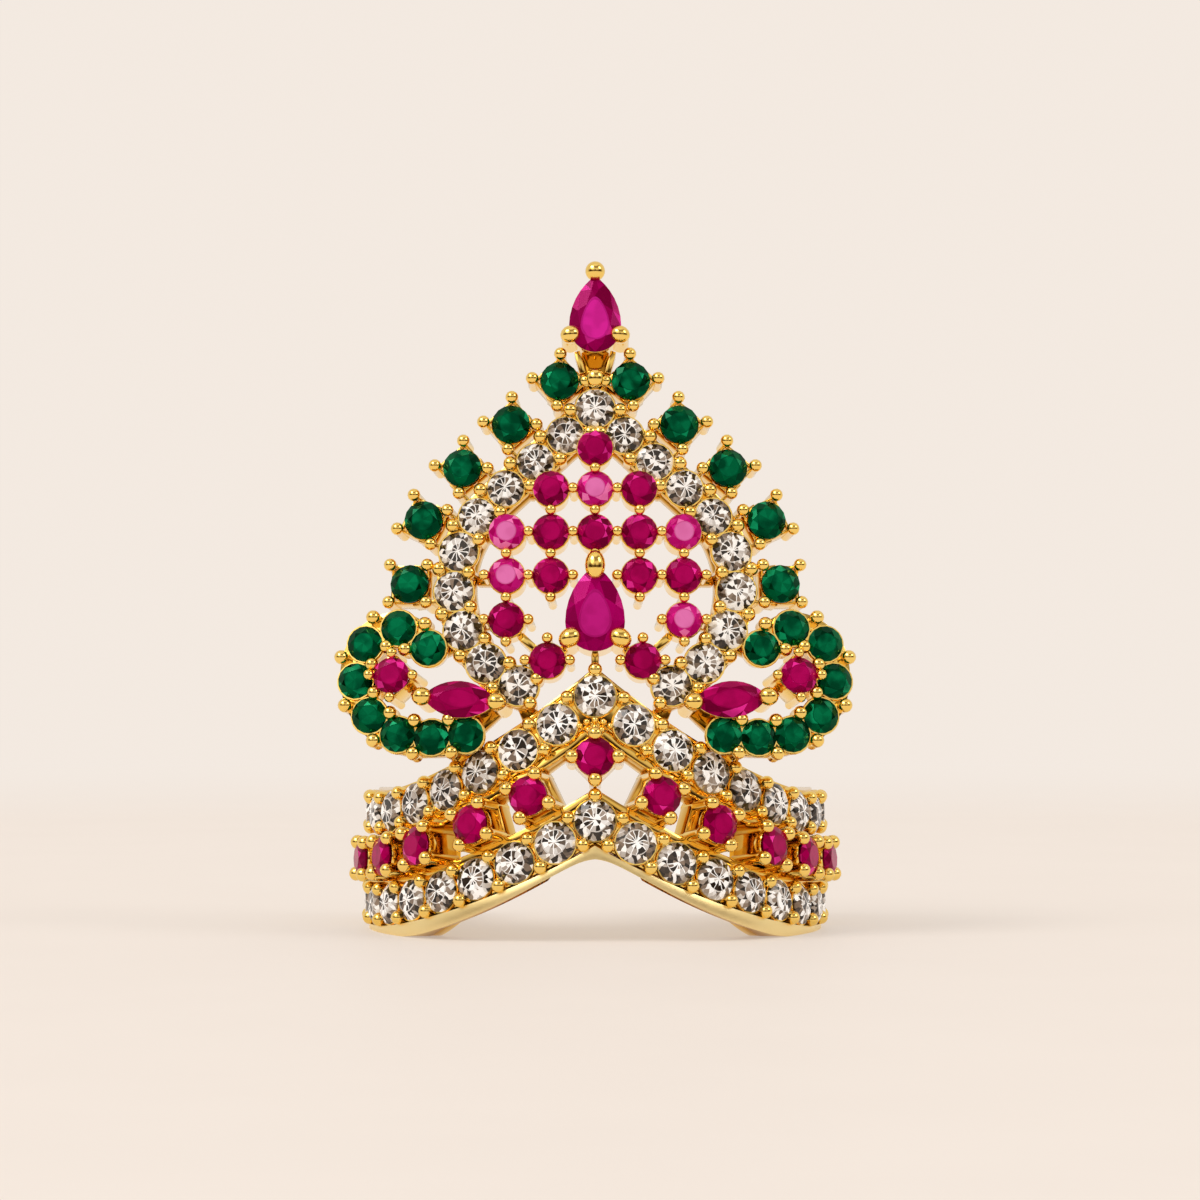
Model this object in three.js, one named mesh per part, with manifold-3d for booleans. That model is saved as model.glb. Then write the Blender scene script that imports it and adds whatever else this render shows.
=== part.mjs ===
// A small deity crown: a C-shaped band of three stone rows that rises to a point at the front,
// a leaf-shaped plume of stones above it, and a looped wing at each side of the plume.
// Millimetres, +Z up. The crown stands on its lower rim and faces -Y: looking at its front, +X is to
// the right.
//
// Every place on the crown is given on one of two bent sheets as (along, height, out):
// along the sheet from the middle, height above the floor, and out of the sheet's face.

import * as THREE from "three";
import { mergeVertices } from "three/addons/utils/BufferGeometryUtils.js";
import Module from "manifold-3d";

const wasm = await Module();
wasm.setup();

const { degToRad, lerp } = THREE.MathUtils;

// ---------------------------------------------------------------- driving dimensions

const LEAN = degToRad(11); // both sheets lean back by this much
const BAND = { radius: 17.6, front: -17.6 }; // through the girdles of the band's white stones
const PLUME = { radius: 80, front: -17.0 }; // through the girdles of the halo stones
const SIDES = [-1, 1];

// The band's rows and its lower rim rise to the front: height = base + rise * (1 - along/reach)^power.
const ROWS = {
  upper: { base: 9.0, rise: 9.4, reach: 24, power: 2 },
  ruby: { base: 5.5, rise: 8.2, reach: 24, power: 2 },
  lower: { base: 2.05, rise: 7.1, reach: 24, power: 2 },
  rim: { base: 0, rise: 7.0, reach: 17.6, power: 1.6 },
};
const RIM_PEAK = 6.3; // the rim's point is rounded off at this height
const ROW_END = 26.6; // along the band to the last white stone of each row
const ROW_STONES = 17;
const RUBY_TURNS = [0, 15.5, 30, 46.5, 60.5, 74.5]; // degrees round the band, each side
const BAND_BACK = -2.7; // inner face of the band's wall
const BAND_FACE = -1.5; // outer face of the wall, behind the rows
const BAND_END = 39.6; // along the band to its free ends at the back
const RAIL = 2.2; // half height of the wall left behind a row of stones
const ROOF = 1.6; // the wall ends this far above the middle of the upper row
const ROOF_FALL = 0.9; // how far the roof follows its rounded corners at the free ends
const LIP_OUT = 0.25; // how far the smooth lower rim stands out
const LIP_DROP = 1.75; // top of the lip below the middle of the lower row
const LIP_END = 29.1; // along the band to the end of the lip
const WINDOWS_END = 13.2; // the pierced run between the rows ends behind the third ruby
const RUN_IN = 0.3; // pieces soldered to the wall run this far into it
const OVERCUT = 0.5; // cutters run this far past the metal that they cut
const ON_FLOOR = 0.01; // corners lower than this lie flat on the floor

// Fields: strips of stones with their shared prongs.
const STRIP = { half: 1.62, low: -1.35, high: -0.25 };
const SINK = 0.1; // how deep stones and claws are sunk in their strip
const FIELD_GAP = 0.15;
const FIELD_PRONG = { across: 1.2, radius: 0.4, top: 0.5 };

// The plume's leaf: straight shoulders from the tip that run into a round belly.
const LEAF = { tip: 40.2, bellyX: 2.4, bellyZ: 26.8, bellyRadius: 8.37, half: 27.45 };
const HALO_STONES = 19;
const SPIKES = { count: 5, offset: 3.4, start: 0.6, pitch: 5.0 };
const GALLERY = { low: -2.6, high: -1.55 }; // backing metal of the plume
const RING_HALF = 2.0; // half width of the leaf-shaped gallery behind the halo
const WING_RING_HALF = 1.1;
const ZONE = { clear: 0.1, top: 2.5 }; // room kept free round a strip and above it
const PRONG_CLEAR = 0.25; // lattice prongs keep this far out of the halo's strip
const SHARED = 0.5; // lattice prongs closer than this are one prong

const LATTICE_PITCH = 3.33;
const LATTICE_CHART = [
  { height: 37.05, columns: [0] },
  { height: 33.95, columns: [-1, 0, 1] },
  { height: 30.65, columns: [-2, -1, 0, 1, 2] },
  { height: 27.35, columns: [-2, -1, 1, 2] },
  { height: 24.0, columns: [-2, 2] },
  { height: 20.95, columns: [-1.07, 1.07] },
];

// Right wing, from its inner top round to its inner bottom end.
const WING_SEATS = [
  { along: 12.6, height: 21.9 },
  { along: 14.9, height: 23.4 },
  { along: 17.5, height: 22.2 },
  { along: 18.2, height: 19.4 },
  { along: 17.1, height: 16.8 },
  { along: 14.9, height: 15.4 },
  { along: 12.3, height: 15.2 },
  { along: 9.7, height: 15.4 },
];
const WING_LIFT = 0.4;

// Cut stones: half sizes, heights from the girdle, and how far the girdle stands off its sheet.
const STONES = {
  white: { radius: 1.58, lift: 0 },
  halo: { radius: 1.52, lift: 0 },
  bandRuby: { radius: 1.5, lift: 1.2 },
  latticeRuby: { radius: 1.37, lift: 0.6 },
  spikeEmerald: { radius: 1.5, lift: 0 },
  wingEmerald: { radius: 1.36, lift: WING_LIFT },
  wingRuby: { radius: 1.4, lift: 0.9 },
  marquise: { halfWidth: 1.4, halfLength: 2.85, lift: 1.0 },
  topPear: { halfWidth: 2.0, halfLength: 4.0, lift: 0.5 },
  middlePear: { halfWidth: 2.25, halfLength: 4.35, lift: 1.1 },
};
const CUT = { table: 0.58, crown: 0.48, pavilion: 1.15 };
const ROUND_FACETS = 8;
const LONG_FACETS = 12;

// Heads under single stones.
const HEAD = { half: 1.65, hole: 1.05, drop: 0.5 };
const COLLET = { radius: 1.58, hole: 1.0 };
const LATTICE_PRONG = 0.34;
const PRONG_TIP = 0.72; // share of a lattice prong's width left at its top
const PRONG_FOOT = -0.8; // foot of a lattice prong that holds one stone only
const PRONG_RISE = 0.6; // prong top above the girdle it holds
const BIG_PRONG = 0.7;
const LONG_RING = { outer: 0.92, inner: 0.62 }; // a long stone's gallery as shares of its outline
const LONG_ROOM = 0.08; // air between a long stone and its gallery
const STEM_BEAD = 0.75;
const TOP_BALL = 0.78;
const BALL_RISE = 0.3; // the ball's middle above the top pear's point

const GOLD = new THREE.MeshStandardMaterial({ color: 0xd9a441, roughness: 0.18, metalness: 1 });
const WHITE = new THREE.MeshStandardMaterial({ color: 0xe9eef2, roughness: 0.05, metalness: 0.1 });
const RUBY = new THREE.MeshStandardMaterial({ color: 0xb3105a, roughness: 0.08, metalness: 0 });
const EMERALD = new THREE.MeshStandardMaterial({ color: 0x04593a, roughness: 0.08, metalness: 0 });

// ---------------------------------------------------------------- sheets and places

function faceNormal(turn) {
  return new THREE.Vector3(Math.sin(turn), -Math.cos(turn), Math.cos(turn) * Math.tan(LEAN)).normalize();
}

function onSheet(sheet, along, height, out = 0) {
  const turn = along / sheet.radius;
  const point = new THREE.Vector3(
    sheet.radius * Math.sin(turn),
    sheet.front + sheet.radius * (1 - Math.cos(turn)) + height * Math.tan(LEAN),
    height,
  );
  return point.addScaledVector(faceNormal(turn), out);
}

// A seat's own axes: X along the sheet turned by spin, Z out of the face.
function seat(sheet, place, spin = 0, out = 0) {
  const turn = place.along / sheet.radius;
  const normal = faceNormal(turn);
  const right = new THREE.Vector3(Math.cos(turn), Math.sin(turn), 0);
  const up = new THREE.Vector3().crossVectors(normal, right);
  const x = right.clone().multiplyScalar(Math.cos(spin)).addScaledVector(up, Math.sin(spin));
  const y = new THREE.Vector3().crossVectors(normal, x);
  const matrix = new THREE.Matrix4().makeBasis(x, y, normal);
  return matrix.setPosition(onSheet(sheet, place.along, place.height, out));
}

// The same seat on the sheet laid flat, where the plume is put together before it is bent.
function flatSeat(place, spin = 0) {
  return new THREE.Matrix4().makeRotationZ(spin).setPosition(place.along, place.height, 0);
}

function rowHeight(row, along) {
  const rest = Math.max(0, 1 - Math.abs(along) / row.reach);
  return row.base + row.rise * rest ** row.power;
}

function rowSlope(row, along) {
  const rest = Math.max(0, 1 - Math.abs(along) / row.reach);
  return (-Math.sign(along) * row.power * row.rise * rest ** (row.power - 1)) / row.reach;
}

// Half a strip's height measured straight up, where the row climbs.
function climb(row, along, half) {
  return half * Math.hypot(1, rowSlope(row, along || 1e-3));
}

class RowCurve extends THREE.Curve {
  constructor(row) {
    super();
    this.row = row;
    this.arcLengthDivisions = 400;
  }
  getPoint(t) {
    const along = lerp(-ROW_END, ROW_END, t);
    return new THREE.Vector2(along, rowHeight(this.row, along));
  }
}

const TIP_REACH = Math.hypot(LEAF.bellyX, LEAF.tip - LEAF.bellyZ);
const SHOULDER = Math.sqrt(TIP_REACH ** 2 - LEAF.bellyRadius ** 2);
const SHOULDER_TURN =
  Math.atan2(LEAF.bellyX, LEAF.tip - LEAF.bellyZ) + Math.asin(LEAF.bellyRadius / TIP_REACH);

// A place on the right half of the leaf, at a length from the tip and an offset outwards.
function leafPlace(length, offset = 0) {
  if (length <= SHOULDER) {
    const along = offset * Math.cos(SHOULDER_TURN) + length * Math.sin(SHOULDER_TURN);
    const drop = length * Math.cos(SHOULDER_TURN) - offset * Math.sin(SHOULDER_TURN);
    return { along, height: LEAF.tip - drop, outward: SHOULDER_TURN };
  }
  const radius = LEAF.bellyRadius + offset;
  const outward = SHOULDER_TURN - (length - SHOULDER) / radius;
  return {
    along: LEAF.bellyX + radius * Math.cos(outward),
    height: LEAF.bellyZ + radius * Math.sin(outward),
    outward,
  };
}

const WING_CURVE = new THREE.SplineCurve(WING_SEATS.map((at) => new THREE.Vector2(at.along, at.height)));

// A place on the right wing, counted in seats from its inner top.
function wingPlace(count) {
  const t = count / (WING_SEATS.length - 1);
  const point = WING_CURVE.getPoint(t);
  const tangent = WING_CURVE.getTangent(t);
  return { along: point.x, height: point.y, outward: Math.atan2(tangent.x, -tangent.y) };
}

function mirrored(place, side) {
  return { ...place, along: side * place.along };
}

function moved(place, across) {
  return {
    along: place.along + across * Math.cos(place.outward),
    height: place.height + across * Math.sin(place.outward),
  };
}

function sideName(side) {
  return side < 0 ? "left" : "right";
}

// ---------------------------------------------------------------- solids

function solidOf(geometry) {
  const bare = new THREE.BufferGeometry().setAttribute("position", geometry.getAttribute("position"));
  bare.setIndex(geometry.index);
  const welded = mergeVertices(bare, 1e-4);
  const corners = welded.index.array;
  const faces = [];
  for (let i = 0; i < corners.length; i += 3) {
    const [a, b, c] = corners.subarray(i, i + 3);
    if (a !== b && b !== c && c !== a) faces.push([a, b, c]);
  }
  const build = (list) =>
    new wasm.Manifold(
      new wasm.Mesh({
        numProp: 3,
        vertProperties: welded.attributes.position.array,
        triVerts: new Uint32Array(list.flat()),
      }),
    );
  const made = build(faces);
  return made.volume() < 0 ? build(faces.map(([a, b, c]) => [a, c, b])) : made;
}

function geometryOf(solid) {
  const { numProp, vertProperties, triVerts } = solid.getMesh();
  const geometry = new THREE.BufferGeometry();
  geometry.setAttribute("position", new THREE.BufferAttribute(new Float32Array(vertProperties), numProp));
  return geometry.setIndex(new THREE.BufferAttribute(new Uint32Array(triVerts), 1));
}

function joined(solids) {
  return solids.reduce((whole, next) => whole.add(next));
}

function placed(geometry, matrix) {
  return solidOf(geometry.clone().applyMatrix4(matrix));
}

// Moves every corner of a solid to where `map` puts it.
function mapped(solid, map) {
  const geometry = geometryOf(solid);
  const position = geometry.getAttribute("position");
  for (let i = 0; i < position.count; i++) {
    const point = map(position.getX(i), position.getY(i), position.getZ(i));
    position.setXYZ(i, point.x, point.y, point.z);
  }
  return solidOf(geometry);
}

const bentToPlume = (solid) => mapped(solid, (x, y, z) => onSheet(PLUME, x, y, z));
const flipped = (solid) => mapped(solid, (x, y, z) => new THREE.Vector3(-x, y, z));

// A box whose corners follow the stations: `map` gets the station and the shares up and out.
function bentBox(stations, map) {
  const last = stations.length - 1;
  const box = new THREE.BoxGeometry(last, 1, 1, last, 1, 1).translate(last / 2, 0.5, 0.5);
  const position = box.getAttribute("position");
  for (let i = 0; i < position.count; i++) {
    const station = stations[Math.round(position.getX(i))];
    const point = map(station, position.getY(i), position.getZ(i));
    position.setXYZ(i, point.x, point.y, point.z);
  }
  return solidOf(box);
}

// A slab of the band between two height functions. Its lowest edge is cut flat at the floor.
function bandSlab(stations, bottom, top, low, high) {
  return bentBox(stations, (along, y, z) => {
    const height = lerp(bottom(along), top(along), y);
    const point = onSheet(BAND, along, height, lerp(low, high, z));
    point.z = height < ON_FLOOR ? 0 : Math.max(point.z, 0);
    return point;
  });
}

function spread(from, to, steps) {
  return Array.from({ length: steps + 1 }, (_, k) => lerp(from, to, k / steps));
}

// A flat plate of even width along a path of places.
function ribbon(path, half, low, high) {
  return bentBox(path, (place, y, z) => {
    const at = moved(place, lerp(-half, half, y));
    return new THREE.Vector3(at.along, at.height, lerp(low, high, z));
  });
}

function bar([x1, y1], [x2, y2], half, low, high) {
  const outward = Math.atan2(y2 - y1, x2 - x1) + Math.PI / 2;
  const ends = [[x1, y1], [x2, y2]].map(([along, height]) => ({ along, height, outward }));
  return ribbon(ends, half, low, high);
}

// A lathed shape about Z. `profile` lists radius and height pairs from one end of the axis to the other.
function turned(profile, sides) {
  const points = profile.map(([radius, height]) => new THREE.Vector2(radius, height));
  return new THREE.LatheGeometry(points, sides).rotateX(Math.PI / 2);
}

// A prong: a square post, narrowed to a share of its width at the top.
function pin(half, low, high, tip = 1) {
  const box = new THREE.BoxGeometry(2 * half, 2 * half, high - low).translate(0, 0, (low + high) / 2);
  const position = box.getAttribute("position");
  for (let i = 0; i < position.count; i++) {
    const share = position.getZ(i) > low + 1e-6 ? tip : 1;
    position.setXY(i, share * position.getX(i), share * position.getY(i));
  }
  return box;
}

// A claw of a field: a small four-sided point.
function claw(radius, low, high) {
  return turned([[0, low], [radius, low], [0, high]], 4);
}

function tube(outline, hole, low, high) {
  const shape = new THREE.Shape(outline);
  shape.holes.push(new THREE.Path(hole));
  const options = { depth: high - low, bevelEnabled: false };
  return new THREE.ExtrudeGeometry(shape, options).translate(0, 0, low);
}

function ringPoints(sides, pointAt, scale = 1) {
  return Array.from({ length: sides }, (_, k) => pointAt((2 * Math.PI * k) / sides).multiplyScalar(scale));
}

const circle = (radius) => (turn) => new THREE.Vector2(radius * Math.cos(turn), radius * Math.sin(turn));

// Half width of a pointed arch at a distance from its widest place.
function archWidth({ halfWidth, halfLength }, distance) {
  const side = (halfLength ** 2 + halfWidth ** 2) / (2 * halfWidth);
  return Math.sqrt(side ** 2 - distance ** 2) - side + halfWidth;
}

const marquise = (size) => (turn) => {
  const x = size.halfLength * Math.cos(turn);
  return new THREE.Vector2(x, Math.sign(Math.sin(turn)) * archWidth(size, x));
};

// Round below, pointed above.
const pear = (size) => (turn) => {
  if (Math.sin(turn) <= 0) return circle(size.halfWidth)(turn);
  const y = size.halfLength * Math.sin(turn);
  return new THREE.Vector2(Math.sign(Math.cos(turn)) * archWidth(size, y), y);
};

// A cut stone: flat table, a ring of crown facets, a sharp girdle, and a pointed pavilion.
function cutStone(outline, facets, grow = 0) {
  const profile = [
    [0, -CUT.pavilion - 2 * grow],
    [1, 0],
    [CUT.table, CUT.crown + 2 * grow],
    [0, CUT.crown + 2 * grow],
  ];
  const shape = turned(profile, facets);
  const position = shape.getAttribute("position");
  for (let i = 0; i < position.count; i++) {
    const share = Math.hypot(position.getX(i), position.getY(i));
    const rim = outline(Math.atan2(position.getY(i), position.getX(i)));
    rim.setLength(rim.length() + grow).multiplyScalar(share);
    position.setXY(i, rim.x, rim.y);
  }
  return facets === ROUND_FACETS ? shape.rotateZ(Math.PI / ROUND_FACETS) : shape;
}

// ---------------------------------------------------------------- fields of stones

// The part of a stone that stands out of its strip.
function setStone(radius) {
  const foot = STRIP.high - SINK;
  const profile = [[0, foot], [radius, foot], [CUT.table * radius, CUT.crown], [0, CUT.crown]];
  return turned(profile, ROUND_FACETS).rotateZ(Math.PI / ROUND_FACETS);
}

const FIELD_CLAW = claw(FIELD_PRONG.radius, STRIP.high - SINK, FIELD_PRONG.top).rotateZ(Math.PI / 4);

function bandField(row) {
  const curve = new RowCurve(row);
  const gaps = ROW_STONES - 1;
  const placeAt = (count) => {
    const { x, y } = curve.getPointAt(count / gaps);
    const slope = Math.atan(rowSlope(row, x));
    return { along: x, height: y, slope, outward: slope + Math.PI / 2 };
  };
  const between = spread(0.5, gaps - 0.5, gaps - 1).map(placeAt);
  const end = ROW_END + STRIP.half;
  const solids = [
    bandSlab(
      [-end, ...between.map((place) => place.along), 0, end].sort((a, b) => a - b),
      (along) => rowHeight(row, along) - climb(row, along, STRIP.half),
      (along) => rowHeight(row, along) + climb(row, along, STRIP.half),
      STRIP.low,
      STRIP.high,
    ),
  ];
  for (const place of spread(0, gaps, gaps).map(placeAt)) {
    solids.push(placed(setStone(STONES.white.radius), seat(BAND, place, place.slope)));
  }
  for (const place of between) {
    for (const edge of SIDES) {
      const at = moved(place, edge * FIELD_PRONG.across);
      solids.push(placed(FIELD_CLAW, seat(BAND, at, place.slope)));
    }
  }
  return joined(solids);
}

const LEAF_PATH = spread(0, LEAF.half + 1, 11).map((length) => leafPlace(length));

function haloDistance({ along, height }) {
  return Math.min(...LEAF_PATH.map((at) => Math.hypot(at.along - Math.abs(along), at.height - height)));
}

// Both halves of the leaf, joined by a round plate at the tip.
function leafPlate(half, low, high) {
  const plate = turned([[0, low], [1.1 * half, low], [1.1 * half, high], [0, high]], ROUND_FACETS);
  const right = ribbon(LEAF_PATH, half, low, high);
  return joined([placed(plate, flatSeat({ along: 0, height: LEAF.tip })), right, flipped(right)]);
}

function haloField() {
  const stone = setStone(STONES.halo.radius);
  const eachSide = (HALO_STONES - 1) / 2;
  const pitch = LEAF.half / eachSide;
  const right = [];
  for (let k = 1; k <= eachSide; k++) {
    const at = leafPlace(k * pitch);
    right.push(placed(stone, flatSeat(at, at.outward)));
    const between = leafPlace((k - 0.5) * pitch);
    for (const edge of SIDES) {
      right.push(placed(FIELD_CLAW, flatSeat(moved(between, edge * FIELD_PRONG.across), between.outward)));
    }
  }
  const half = joined(right);
  const tip = placed(stone, flatSeat({ along: 0, height: LEAF.tip }));
  return bentToPlume(joined([leafPlate(STRIP.half, STRIP.low, STRIP.high), tip, half, flipped(half)]));
}

const WING_PATH = spread(0, WING_SEATS.length - 1, 9).map(wingPlace);
const WING_STRIP = STRIP.half - 0.12;

function wingField() {
  const stone = setStone(STONES.wingEmerald.radius).translate(0, 0, WING_LIFT);
  const wingClaw = FIELD_CLAW.clone().translate(0, 0, WING_LIFT);
  const solids = [ribbon(WING_PATH, WING_STRIP, STRIP.low + WING_LIFT, STRIP.high + WING_LIFT)];
  WING_SEATS.forEach((_, k) => {
    const at = wingPlace(k);
    solids.push(placed(stone, flatSeat(at, at.outward)));
    if (k === 0) return;
    const between = wingPlace(k - 0.5);
    for (const edge of SIDES) {
      solids.push(placed(wingClaw, flatSeat(moved(between, edge * FIELD_PRONG.across), between.outward)));
    }
  });
  return joined(solids);
}

// ---------------------------------------------------------------- single stones

const WING_RUBY = { along: 15.3, height: 19.75 };
const MARQUISE = { along: 10.1, height: 17.95 };
const MARQUISE_TILT = degToRad(4);
const TOP_PEAR = { along: 0, height: 46.4 };
const MIDDLE_PEAR = { along: 0, height: 23.75 };

function rubyPlace(side, k) {
  const along = side * degToRad(RUBY_TURNS[k]) * BAND.radius;
  return { along, height: rowHeight(ROWS.ruby, along) };
}

// The middle ruby stands on its corner, and the others turn with the row's slope.
function rubySpin(side, k) {
  return k ? Math.atan(rowSlope(ROWS.ruby, rubyPlace(side, k).along)) : Math.PI / 4;
}

const rubySides = (k) => (k ? SIDES : [1]);

function spikePlaces() {
  return Array.from({ length: SPIKES.count }, (_, k) =>
    leafPlace(SPIKES.start + k * SPIKES.pitch, SPIKES.offset),
  );
}

function latticePlaces() {
  return LATTICE_CHART.flatMap((row, k) =>
    row.columns.map((column, n) => ({
      name: `lattice_ruby_${k + 1}_${n + 1}`,
      along: column * LATTICE_PITCH,
      height: row.height,
    })),
  );
}

function singleStones() {
  const stones = [];
  const add = (name, sheet, place, kind, material, outline, facets, spin = 0) => {
    const solid = placed(cutStone(outline, facets), seat(sheet, place, spin, STONES[kind].lift));
    stones.push({ name, solid, material });
  };
  const addRound = (name, sheet, place, kind, material, spin) =>
    add(name, sheet, place, kind, material, circle(STONES[kind].radius), ROUND_FACETS, spin);

  RUBY_TURNS.forEach((_, k) => {
    for (const side of rubySides(k)) {
      const name = k ? `band_ruby_${sideName(side)}_${k}` : "band_ruby_middle";
      addRound(name, BAND, rubyPlace(side, k), "bandRuby", RUBY, rubySpin(side, k));
    }
  });
  for (const place of latticePlaces()) addRound(place.name, PLUME, place, "latticeRuby", RUBY);
  for (const side of SIDES) {
    spikePlaces().forEach((at, k) => {
      const name = `spike_emerald_${sideName(side)}_${k + 1}`;
      addRound(name, PLUME, mirrored(at, side), "spikeEmerald", EMERALD, side * at.outward);
    });
    addRound(`wing_ruby_${sideName(side)}`, PLUME, mirrored(WING_RUBY, side), "wingRuby", RUBY);
    const name = `wing_marquise_${sideName(side)}`;
    const outline = marquise(STONES.marquise);
    add(name, PLUME, mirrored(MARQUISE, side), "marquise", RUBY, outline, LONG_FACETS, side * MARQUISE_TILT);
  }
  add("top_pear", PLUME, TOP_PEAR, "topPear", RUBY, pear(STONES.topPear), LONG_FACETS);
  add("middle_pear", PLUME, MIDDLE_PEAR, "middlePear", RUBY, pear(STONES.middlePear), LONG_FACETS);
  return stones;
}

// ---------------------------------------------------------------- gold frame

const BAND_STATIONS = spread(-BAND_END, BAND_END, 30);

// The wall of the band with its smooth lower lip and the windows beside the rubies.
function bandWall() {
  const corner = ROWS.upper.base;
  const roof = (along) => {
    const past = Math.max(0, Math.abs(along) - (BAND_END - corner));
    const drop = corner - Math.sqrt(corner ** 2 - past ** 2);
    return rowHeight(ROWS.upper, along) + climb(ROWS.upper, along, ROOF) - ROOF_FALL * drop;
  };
  const rim = (along) => Math.min(rowHeight(ROWS.rim, along), RIM_PEAK);
  const lipTop = (along) => rowHeight(ROWS.lower, along) - climb(ROWS.lower, along, LIP_DROP);
  const sill = (along) => rowHeight(ROWS.lower, along) + climb(ROWS.lower, along, RAIL);
  const lintel = (along) => rowHeight(ROWS.upper, along) - climb(ROWS.upper, along, RAIL);
  const upTo = (end) => BAND_STATIONS.filter((along) => Math.abs(along) < end + 0.01);
  const wall = bandSlab(BAND_STATIONS, rim, roof, BAND_BACK, BAND_FACE);
  const lip = bandSlab(upTo(LIP_END), rim, lipTop, BAND_FACE - RUN_IN, LIP_OUT);
  const windows = bandSlab(upTo(WINDOWS_END), sill, lintel, BAND_BACK - OVERCUT, BAND_FACE + OVERCUT);
  return wall.add(lip).subtract(windows);
}

// A square open head with a prong at each corner.
function squareHead(lift, low) {
  const { half, hole, drop } = HEAD;
  const square = (size) => [
    new THREE.Vector2(-size, -size),
    new THREE.Vector2(size, -size),
    new THREE.Vector2(size, size),
    new THREE.Vector2(-size, size),
  ];
  const solids = [solidOf(tube(square(half), square(hole), low, lift - drop))];
  const corner = (half + hole) / 2;
  const prong = pin((half - hole) / 2, low, lift + PRONG_RISE);
  for (const x of SIDES) {
    for (const y of SIDES) solids.push(solidOf(prong.clone().translate(x * corner, y * corner, 0)));
  }
  return geometryOf(joined(solids));
}

// The heads beside the windows run through the whole wall, and the others stand on it.
function bandHeads() {
  const { lift } = STONES.bandRuby;
  const through = squareHead(lift, BAND_BACK);
  const standing = squareHead(lift, BAND_FACE - RUN_IN);
  return RUBY_TURNS.flatMap((_, k) =>
    rubySides(k).map((side) => {
      const place = rubyPlace(side, k);
      const head = Math.abs(place.along) < WINDOWS_END ? through : standing;
      return placed(head, seat(BAND, place, rubySpin(side, k)));
    }),
  );
}

// Round collets on a square grid, with one shared prong wherever two of them meet.
function latticeFrame() {
  const { lift } = STONES.latticeRuby;
  const collet = tube(
    ringPoints(ROUND_FACETS, circle(COLLET.radius)),
    ringPoints(ROUND_FACETS / 2, circle(COLLET.hole)),
    GALLERY.low,
    lift - HEAD.drop,
  ).rotateZ(Math.PI / ROUND_FACETS);
  const prongs = [];
  for (const { along, height } of latticePlaces()) {
    for (const [x, z] of [[1, 0], [-1, 0], [0, 1], [0, -1]]) {
      const at = {
        along: along + (x * LATTICE_PITCH) / 2,
        height: height + (z * LATTICE_PITCH) / 2,
        low: PRONG_FOOT,
      };
      const gapTo = (other) => Math.hypot(other.along - at.along, other.height - at.height);
      const shared = prongs.find((other) => gapTo(other) < SHARED);
      if (shared) Object.assign(shared, { height: (shared.height + at.height) / 2, low: GALLERY.low });
      else prongs.push(at);
    }
  }
  const free = prongs.filter((at) => haloDistance(at) > STRIP.half + PRONG_CLEAR);
  return joined([
    ...latticePlaces().map((at) => placed(collet, flatSeat(at))),
    ...free.map((at) => placed(pin(LATTICE_PRONG, at.low, lift + PRONG_RISE, PRONG_TIP), flatSeat(at))),
  ]);
}

// A gallery that follows a long stone's outline, with a big notched prong at each listed turn.
function longHead(place, size, outlineOf, spin, prongTurns) {
  const outer = ringPoints(LONG_FACETS, outlineOf(size), LONG_RING.outer);
  const inner = ringPoints(LONG_FACETS / 2, outlineOf(size), LONG_RING.inner);
  const matrix = flatSeat(place, spin);
  const solids = [placed(tube(outer, inner, GALLERY.low, size.lift - HEAD.drop), matrix)];
  for (const degrees of prongTurns) {
    const rim = outlineOf(size)(degToRad(degrees));
    const at = rim.clone().setLength(rim.length() + 0.5 * BIG_PRONG);
    const top = size.lift + PRONG_RISE + 0.2;
    const shape = turned([[0, GALLERY.low], [BIG_PRONG, GALLERY.low], [BIG_PRONG, top - 0.4], [0, top]], 6);
    shape.translate(at.x, at.y, 0);
    solids.push(placed(shape, matrix));
  }
  const room = cutStone(outlineOf(size), LONG_FACETS, LONG_ROOM).translate(0, 0, size.lift);
  return joined(solids).subtract(placed(room, matrix));
}

// Small bars that tie the lattice, pears, halo, wings and band together, charted for the right side.
const BARS = [
  { name: "second lattice row to halo", from: [4.7, 33.95], to: [6.1, 34.0], half: 0.35, high: -1.55 },
  { name: "third lattice row to halo", from: [8.0, 30.65], to: [9.0, 30.65], half: 0.35, high: -1.55 },
  { name: "fourth lattice row to halo", from: [7.9, 27.35], to: [9.2, 27.35], half: 0.35, high: -1.55 },
  { name: "fifth lattice row to halo", from: [7.9, 24.0], to: [9.0, 24.0], half: 0.35, high: -1.55 },
  { name: "fifth lattice row to sixth", from: [4.6, 22.0], to: [5.7, 23.0], half: 0.35, high: -0.4 },
  { name: "middle pear to sixth lattice row", from: [1.8, 22.4], to: [2.6, 21.8], half: 0.35, high: -0.4 },
  { name: "halo end to band", from: [5.9, 19.3], to: [4.7, 16.4], half: 0.7, high: -1.6 },
  { name: "halo end to marquise", from: [6.3, 19.2], to: [7.6, 17.4], half: 0.6, high: -1.55 },
  { name: "marquise to wing end", from: [7.5, 17.6], to: [9.9, 15.4], half: 0.5, high: -1.55 },
  { name: "back of wing end", from: [10.3, 16.2], to: [10.3, 14.8], half: 0.8, low: -5.4, high: -1.55 },
  { name: "wing end to band", from: [10.3, 15.2], to: [10.3, 11.6], half: 0.8, low: -5.4, high: -4.4 },
  { name: "wing top to halo", from: [10.2, 22.9], to: [12.9, 21.7], half: 0.6, high: -1.55 },
  { name: "marquise to wing ruby", from: [12.7, 18.1], to: [14.2, 19.0], half: 0.4, high: -1.55 },
  { name: "wing ruby to wing", from: [16.0, 19.7], to: [18.2, 19.3], half: 0.6, high: -1.55 },
];

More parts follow.
